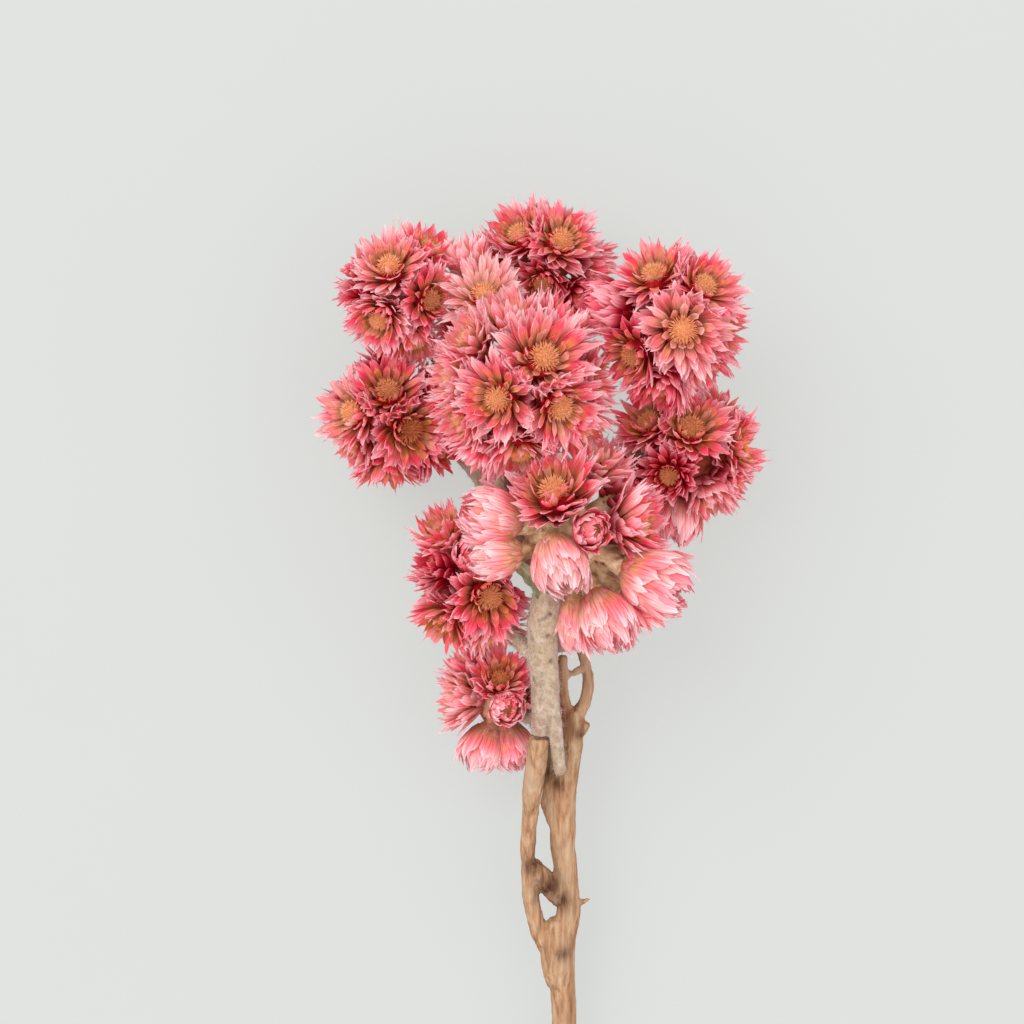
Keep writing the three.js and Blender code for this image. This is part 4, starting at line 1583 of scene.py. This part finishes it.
class Recipe:
    """A node material that is put together step by step."""

    def __init__(self, name: str) -> None:
        """Starts an empty material.

        Args:
            name: its name.
        """
        self.material = bpy.data.materials.new(name)
        self.material.use_nodes = True
        self.tree = self.material.node_tree
        self.tree.nodes.clear()
        self.output = self.tree.nodes.new("ShaderNodeOutputMaterial")

    def put(self, socket: bpy.types.NodeSocket, value: Value) -> None:
        """Links a socket, or sets the value on it.

        Args:
            socket: the socket.
            value: an output of a node, or the value.
        """
        if isinstance(value, bpy.types.NodeSocket):
            self.tree.links.new(value, socket)
        else:
            socket.default_value = value

    def node(self, kind: str, values: Mapping[str | int, Value], **settings: str | bool) -> bpy.types.Node:
        """Adds a node.

        Args:
            kind: its kind, without the ShaderNode before it.
            values: what goes into its sockets, by their names or numbers.
            settings: its settings.

        Returns:
            The node.
        """
        node = self.tree.nodes.new(f"ShaderNode{kind}")
        for name, setting in settings.items():
            setattr(node, name, setting)
        for socket, value in values.items():
            self.put(node.inputs[socket], value)
        return node

    def mark(self, name: str) -> bpy.types.NodeSocket:
        """A number that the mesh holds at each vertex."""
        return self.node("Attribute", {}, attribute_name=name).outputs["Fac"]

    def math(self, operation: str, *values: Value) -> bpy.types.NodeSocket:
        """Reckons with one value or two."""
        return self.node("Math", dict(enumerate(values)), operation=operation).outputs[0]

    def ranged(
        self, value: Value, low: float, high: float, to_low: float = 0.0, to_high: float = 1.0
    ) -> bpy.types.NodeSocket:
        """Maps a range to another, and stays in it."""
        names = ("Value", "From Min", "From Max", "To Min", "To Max")
        return self.node("MapRange", dict(zip(names, (value, low, high, to_low, to_high)))).outputs[0]

    def blend(self, share: Value, first: Value, second: Value, kind: str = "MIX") -> bpy.types.NodeSocket:
        """Mixes two colours."""
        values = {0: share, 6: first, 7: second}
        return self.node("Mix", values, data_type="RGBA", blend_type=kind, clamp_factor=True).outputs[2]

    def ramp(self, value: Value, stops: Stops) -> bpy.types.NodeSocket:
        """Colours along a value.

        Args:
            value: the value.
            stops: the colours, each with its place.

        Returns:
            The colour.
        """
        node = self.node("ValToRGB", {0: value})
        elements = node.color_ramp.elements
        while len(elements) < len(stops):
            elements.new(0.5)
        for element, (position, colour) in zip(elements, stops):
            element.position = position
            element.color = colour
        return node.outputs[0]

    def cloud(
        self, where: Value, scale: float, detail: float = 2.0, rough: float = 0.5
    ) -> bpy.types.NodeSocket:
        """Noise between 0 and 1."""
        values = {"Vector": where, "Scale": scale, "Detail": detail, "Roughness": rough}
        return self.node("TexNoise", values).outputs[0]

    def grained(self, along: float, scale: float, detail: float, rough: float = 0.5) -> bpy.types.NodeSocket:
        """Noise between 0 and 1 over the sprig.

        Args:
            along: its fineness along the stem, as a share of that across it.
            scale: its fineness across the stem, to the metre.
            detail: how many finer layers it has.
            rough: how strong these are.

        Returns:
            The noise.
        """
        place = self.node("TexCoord", {}).outputs["Object"]
        scaled = self.node("Mapping", {"Vector": place, "Scale": (1.0, along, 1.0)})
        return self.cloud(scaled.outputs[0], scale, detail, rough)

    def dress(
        self,
        colour: Value,
        roughness: float,
        height: Value | None = None,
        depth: float = 0.0,
        relief: float = 1.0,
        glow: float = 0.0,
        painted_glow: float = 0.0,
        **plain: float | Colour,
    ) -> bpy.types.Material:
        """Ends the recipe with a surface.

        Args:
            colour: its colour.
            roughness: its roughness.
            height: the height of its bumps, if it has any.
            depth: how deep they are, in metres.
            relief: how strong they are.
            glow: the share of the light that shows through it.
            painted_glow: the share of its colour that it gives off by itself, a painted glow that lifts its
                shaded parts though it is no lamp.
            plain: other values of the surface, by their sockets' names with _ for a space.

        Returns:
            The material.
        """
        values = {name.replace("_", " "): value for name, value in plain.items()}
        values |= {"Base Color": colour, "Roughness": roughness}
        if height is not None:
            bumps = {"Strength": relief, "Distance": depth, "Height": height}
            values["Normal"] = self.node("Bump", bumps).outputs[0]
        # The emission is a painted glow: the surface lights itself in its own colour, as no lamp does, and
        # this lifts its shade.
        if painted_glow:
            values |= {"Emission Color": colour, "Emission Strength": painted_glow}
        ready = self.node("BsdfPrincipled", values).outputs[0]
        if glow:
            through = self.node("BsdfTranslucent", {"Color": colour}).outputs[0]
            ready = self.node("MixShader", {0: glow, 1: ready, 2: through}).outputs[0]
        self.put(self.output.inputs[0], ready)
        return self.material


@dataclass(frozen=True)
class BractPaper:
    """Papery bracts with fine veins.

    Attributes:
        ripe: their colours from the golden base over coral and pink to the teeth.
        rosy: the pink that some of them turn to.
        faded: colours of a faded one from base to tip.
        deep: colours of a crimson one from base to tip, which also paint the shade deep inside a bunch.
        rim: their edges near the tip.
        veins: the shade and the light of the veins.
        grain: how fine the veins are across and along.
    """

    ripe: Stops = (
        (0.0, vivid(206, 148, 72)),
        (0.14, vivid(244, 188, 120)),
        (0.3, vivid(250, 154, 120)),
        (0.48, vivid(250, 100, 122)),
        (0.7, vivid(252, 158, 176)),
        (0.9, vivid(252, 222, 226)),
    )
    rosy: Colour = vivid(254, 78, 126)
    faded: Stops = ((0.0, vivid(238, 208, 160)), (0.5, vivid(250, 206, 200)), (1.0, vivid(246, 234, 234)))
    deep: Stops = ((0.0, vivid(120, 2, 14)), (0.4, vivid(196, 6, 42)), (1.0, vivid(246, 80, 120)))
    rim: Colour = vivid(250, 214, 218)
    veins: Stops = ((0.36, paint(226, 128, 146, 1.0)), (0.54, paint(255, 255, 255, 1.0)))
    grain: Span = (8.0, 1.4)

    def material(self) -> bpy.types.Material:
        """Mixes the bracts' material.

        Returns:
            The material.
        """
        recipe = Recipe("bract_paper")
        along, across, chance = recipe.mark("along"), recipe.mark("across"), recipe.mark("chance")
        fine, coarse = self.grain
        grain = {0: recipe.math("MULTIPLY", across, fine), 1: recipe.math("MULTIPLY", along, coarse)}
        grain[2] = recipe.math("MULTIPLY", chance, 41.0)
        veins = recipe.cloud(recipe.node("CombineXYZ", grain).outputs[0], 1.0, 3.0)
        patches = recipe.grained(1.0, 420.0, 2.0)
        shift = recipe.math("SUBTRACT", along, recipe.mark("gold"))
        for noises in (veins, patches):
            shift = recipe.math("ADD", shift, recipe.ranged(noises, 0.3, 0.7, -0.06, 0.06))
        body = recipe.ramp(shift, self.ripe)
        rosy = recipe.blend(recipe.ranged(chance, 0.5, 1.0, 0.0, 0.65), body, self.rosy)
        body = recipe.blend(recipe.ranged(along, 0.25, 0.5), body, rosy)
        body = recipe.blend(recipe.mark("fading"), body, recipe.ramp(along, self.faded))
        # The crimson mark blends in the head's own dark red together with painted shade deep in the bunch.
        body = recipe.blend(recipe.mark("crimson"), body, recipe.ramp(along, self.deep))
        edge = recipe.ranged(recipe.math("ABSOLUTE", across), 0.7, 1.0)
        edge = recipe.math("MULTIPLY", edge, recipe.ranged(along, 0.55, 1.0))
        body = recipe.blend(recipe.math("MULTIPLY", edge, 0.5), body, self.rim)
        body = recipe.blend(0.75, body, recipe.ramp(veins, self.veins), "MULTIPLY")
        # A painted glow of 0.13 of the bract colour lifts the shade among the crowded bracts.
        return recipe.dress(body, 0.6, veins, 0.00006, 0.6, glow=0.5, painted_glow=0.13, Specular_IOR_Level=0.25)


@dataclass(frozen=True)
class DiscFloss:
    """Florets of the discs.

    Attributes:
        fresh: colours of a light one from foot to tip.
        ripe: colours of a brown one from foot to tip.
        dusty: their dusty spots.
        warm: the orange that some of them turn to.
    """

    fresh: Stops = ((0.0, vivid(232, 162, 114)), (0.5, vivid(242, 182, 136)), (1.0, vivid(248, 206, 168)))
    ripe: Stops = ((0.0, vivid(150, 60, 26)), (0.6, vivid(214, 108, 56)), (1.0, vivid(240, 150, 92)))
    dusty: Colour = vivid(226, 180, 110)
    warm: Colour = vivid(250, 150, 118)

    def material(self) -> bpy.types.Material:
        """Mixes the florets' material.

        Returns:
            The material.
        """
        recipe = Recipe("disc_floss")
        tip, chance = recipe.mark("tip"), recipe.mark("chance")
        mottled = recipe.grained(1.0, 700.0, 2.0)
        body = recipe.blend(recipe.mark("brown"), recipe.ramp(tip, self.fresh), recipe.ramp(tip, self.ripe))
        body = recipe.blend(recipe.ranged(mottled, 0.45, 0.7, 0.0, 0.3), body, self.dusty)
        body = recipe.blend(recipe.ranged(chance, 0.6, 1.0, 0.0, 0.35), body, self.warm)
        # A painted glow of 0.3 of the floret colour brightens the discs and softens the shade between the
        # bristles.
        return recipe.dress(body, 0.9, mottled, 0.0001, glow=0.4, painted_glow=0.3, Specular_IOR_Level=0.1)


@dataclass(frozen=True)
class CupSkin:
    """Cups and stalks: crimson and brown, or under cream wool.

    Attributes:
        wool: the wool's colours.
        hairs: the tips of woolly hairs.
        bits: dark bits in the wool.
        ruddy: the bare skin's colours.
        ruddy_hairs: the tips of hairs on bare skin.
    """

    wool: Stops = ((0.3, vivid(150, 110, 74)), (0.5, vivid(206, 174, 134)), (0.7, vivid(236, 210, 180)))
    hairs: Colour = paint(240, 228, 206)
    bits: Colour = paint(84, 42, 24)
    ruddy: Stops = ((0.3, vivid(110, 4, 14)), (0.55, vivid(160, 10, 26)), (0.75, vivid(180, 60, 44)))
    ruddy_hairs: Colour = vivid(226, 150, 120)

    def material(self) -> bpy.types.Material:
        """Mixes the cups' material.

        Returns:
            The material.
        """
        recipe = Recipe("cup_skin")
        tip, mottled = recipe.mark("tip"), recipe.grained(1.0, 700.0, 3.0)
        wool = recipe.blend(recipe.math("MULTIPLY", tip, 0.7), recipe.ramp(mottled, self.wool), self.hairs)
        bits = recipe.grained(1.0, 560.0, 2.0)
        wool = recipe.blend(recipe.ranged(bits, 0.6, 0.68, 0.0, 0.85), wool, self.bits)
        ruddy = recipe.ramp(mottled, self.ruddy)
        ruddy = recipe.blend(recipe.math("MULTIPLY", tip, 0.8), ruddy, self.ruddy_hairs)
        body = recipe.blend(recipe.mark("woolly"), ruddy, wool)
        # A painted glow of 0.08 of the skin colour lifts the shade on the cups and stalks.
        return recipe.dress(body, 0.9, mottled, 0.0002, painted_glow=0.08, Specular_IOR_Level=0.1)


@dataclass(frozen=True)
class Felt:
    """The shoots' felt.

    Attributes:
        tufts: its colours from cream to grey.
        straw: its yellow patches.
        worn: its worn brown patches.
        bruise: its creases and bruises.
        hairs: the tips of its hairs.
    """

    tufts: Stops = ((0.3, paint(186, 150, 122)), (0.5, paint(218, 188, 162)), (0.72, paint(240, 220, 204)))
    straw: Colour = paint(222, 194, 148)
    worn: Colour = paint(178, 130, 100)
    bruise: Colour = paint(70, 50, 38)
    hairs: Colour = paint(240, 224, 208)

    def material(self) -> bpy.types.Material:
        """Mixes the felt.

        Returns:
            The material.
        """
        recipe = Recipe("shoot_felt")
        tufts = recipe.grained(0.6, 1100.0, 4.0, 0.65)
        patches = recipe.grained(0.45, 260.0, 3.0)
        body = recipe.ramp(tufts, self.tufts)
        body = recipe.blend(recipe.ranged(patches, 0.5, 0.75, 0.0, 0.5), body, self.straw)
        body = recipe.blend(recipe.ranged(patches, 0.42, 0.28, 0.0, 0.6), body, self.worn)
        body = recipe.blend(recipe.mark("bruise"), body, self.bruise)
        body = recipe.blend(recipe.ranged(recipe.mark("tip"), 0.0, 1.0, 0.0, 0.6), body, self.hairs)
        return recipe.dress(body, 0.92, tufts, 0.00025, Sheen_Weight=0.3, Specular_IOR_Level=0.15)


@dataclass(frozen=True)
class Bark:
    """Dry bark.

    Attributes:
        streaks: its colours from brown to tan.
        ridges: its pale worn ridges.
        shade: its dark patches.
        scar: its scars.
    """

    streaks: Stops = ((0.28, paint(150, 100, 66)), (0.5, paint(210, 160, 120)), (0.72, paint(234, 198, 164)))
    ridges: Colour = paint(226, 194, 160)
    shade: Colour = paint(158, 104, 66)
    scar: Colour = paint(84, 36, 16)

    def material(self) -> bpy.types.Material:
        """Mixes the bark.

        Returns:
            The material.
        """
        recipe = Recipe("dry_bark")
        streaks = recipe.grained(0.1, 1500.0, 5.0, 0.6)
        patches = recipe.grained(0.35, 240.0, 3.0)
        body = recipe.ramp(streaks, self.streaks)
        body = recipe.blend(recipe.ranged(patches, 0.52, 0.75, 0.0, 0.75), body, self.ridges)
        body = recipe.blend(recipe.ranged(patches, 0.42, 0.25, 0.0, 0.6), body, self.shade)
        scar = recipe.math("MULTIPLY", recipe.mark("scar"), recipe.ranged(streaks, 0.3, 0.6, 1.3, 0.8))
        body = recipe.blend(scar, body, self.scar)
        height = recipe.math("ADD", streaks, recipe.math("MULTIPLY", patches, 0.5))
        return recipe.dress(body, 0.85, height, 0.0003, Specular_IOR_Level=0.2)


@dataclass(frozen=True)
class DryLeaf:
    """A grey-green leaf.

    Attributes:
        tufts: its colours.
        rib: its pale midrib.
    """

    tufts: Stops = ((0.3, paint(124, 120, 84)), (0.6, paint(172, 166, 128)), (0.8, paint(206, 196, 162)))
    rib: Colour = paint(214, 202, 168)

    def material(self) -> bpy.types.Material:
        """Mixes the leaf's material.

        Returns:
            The material.
        """
        recipe = Recipe("dry_leaf")
        tufts = recipe.grained(1.0, 900.0, 3.0)
        rib = recipe.ranged(recipe.math("ABSOLUTE", recipe.mark("across")), 0.0, 0.2, 0.7, 0.0)
        body = recipe.blend(rib, recipe.ramp(tufts, self.tufts), self.rib)
        return recipe.dress(body, 0.85, tufts, 0.00015, Specular_IOR_Level=0.2)


@dataclass(frozen=True)
class FloorPaper:
    """Pale paper with the faintest grain.

    Attributes:
        glow: the share of its brightness that it gives off by itself, as a light table does.
        strength: the brightness of its colours, of which the lamps give the rest.
    """

    glow: float = 0.7
    strength: float = 0.55

    def material(self) -> bpy.types.Material:
        """Mixes the paper.

        Returns:
            The material.
        """
        recipe = Recipe("floor_paper")
        strength = self.strength * (1.0 - self.glow)
        stops = ((0.3, paint(223, 225, 222, strength)), (0.7, paint(225, 227, 224, strength)))
        body = recipe.ramp(recipe.grained(1.0, 30.0, 3.0), stops)
        light = {"Emission_Color": paint(224, 226, 223, 1.0), "Emission_Strength": self.glow}
        return recipe.dress(body, 0.9, Specular_IOR_Level=0.0, **light)


@dataclass(frozen=True)
class Studio:
    """The pale floor, the soft light and the camera straight above.

    Attributes:
        eye: the camera's place.
        lens: its focal length, on a sensor 36 mm wide.
        floor: the floor's side, in metres.
        lamps: each lamp's name, place and size in metres, and power.
        sky: the strength of the light from all round.
    """

    eye: Point = (-3.87, 50.1, 363.0)
    lens: float = 90.0
    floor: float = 6.0
    lamps: tuple[tuple[str, Point, float, float], ...] = (
        ("key", (-0.7, 0.55, 1.1), 1.0, 12.0),
        ("fill", (0.9, -0.3, 1.0), 1.2, 5.0),
    )
    sky: float = 1.35

    def spread(self) -> None:
        """Lays the floor."""
        form = bmesh.new()
        bmesh.ops.create_grid(form, x_segments=1, y_segments=1, size=self.floor / 2)
        floor = placed("floor", meshed("floor", form))
        floor.data.materials.append(FloorPaper().material())

    def light(self) -> None:
        """Hangs soft square lamps that face the sprig, and lights the sky."""
        for name, place, size, power in self.lamps:
            lamp = bpy.data.lights.new(name, "AREA")
            lamp.size, lamp.energy = size, power
            holder = placed(name, lamp)
            holder.location = place
            holder.rotation_euler = Vector(place).to_track_quat("Z", "Y").to_euler()
        world = bpy.data.worlds.new("sky")
        world.use_nodes = True
        sky = world.node_tree.nodes["Background"]
        sky.inputs["Color"].default_value = (1.0, 1.0, 1.0, 1.0)
        sky.inputs["Strength"].default_value = self.sky
        bpy.context.scene.world = world

    def set_up(self) -> None:
        """Puts all of it in the scene."""
        scene = bpy.context.scene
        scene.view_settings.view_transform = "Standard"
        camera = bpy.data.cameras.new("camera")
        camera.lens, camera.sensor_width = self.lens, 36.0
        camera.clip_start, camera.clip_end = 0.01, 20.0
        scene.camera = placed("camera", camera)
        scene.camera.location = Vector(self.eye) * MM
        self.spread()
        self.light()


def main() -> None:
    """Builds the sprig and its studio."""
    logging.basicConfig(level=logging.INFO, format="%(name)s %(message)s")
    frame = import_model()
    log.info("the frame has %d nodes", len(frame["nodes"]))
    Studio().set_up()

    bracts, discs, cups = Bracts(), Discs(), Cups()
    spike, ball = Template.spike(), Template.ball()
    forms = {"bract": bracts.template(), "spike": spike, "ball": ball, "cup": cups.template()}
    finishes = {"bracts": BractPaper(), "discs": DiscFloss(), "cups": CupSkin()}
    finishes = {kind: finish.material() for kind, finish in finishes.items()}
    for index, bunch in enumerate(BUNCHES):
        draw = np.random.default_rng(SEED + index)
        FlowerBunch(bunch, bracts, discs, cups).build(forms, finishes, draw)

    draw = np.random.default_rng(SEED)
    stem = Limbs("woody_stem", WOOD, SCARS, "scar", fineness=0.28, grooves=0.16, lumps=0.14, hairs=0)
    stem.build("stem", "bark", Bark().material(), spike, draw)
    felt = Felt().material()
    for node, hairs in (("shoot_front", 5200), ("shoot_rear", 3600), ("shoot_right", 2400)):
        routes = SHOOTS[node]
        shoot = Limbs(node, routes, BRUISES, "bruise", fineness=0.26, grooves=0.06, lumps=0.12, hairs=hairs)
        shoot.build(node.replace("shoot", "felted_shoot"), "felt", felt, spike, draw)
    CurledLeaf().build()

    for form in forms.values():
        bpy.data.meshes.remove(form.mesh)


if __name__ == "__main__":
    main()
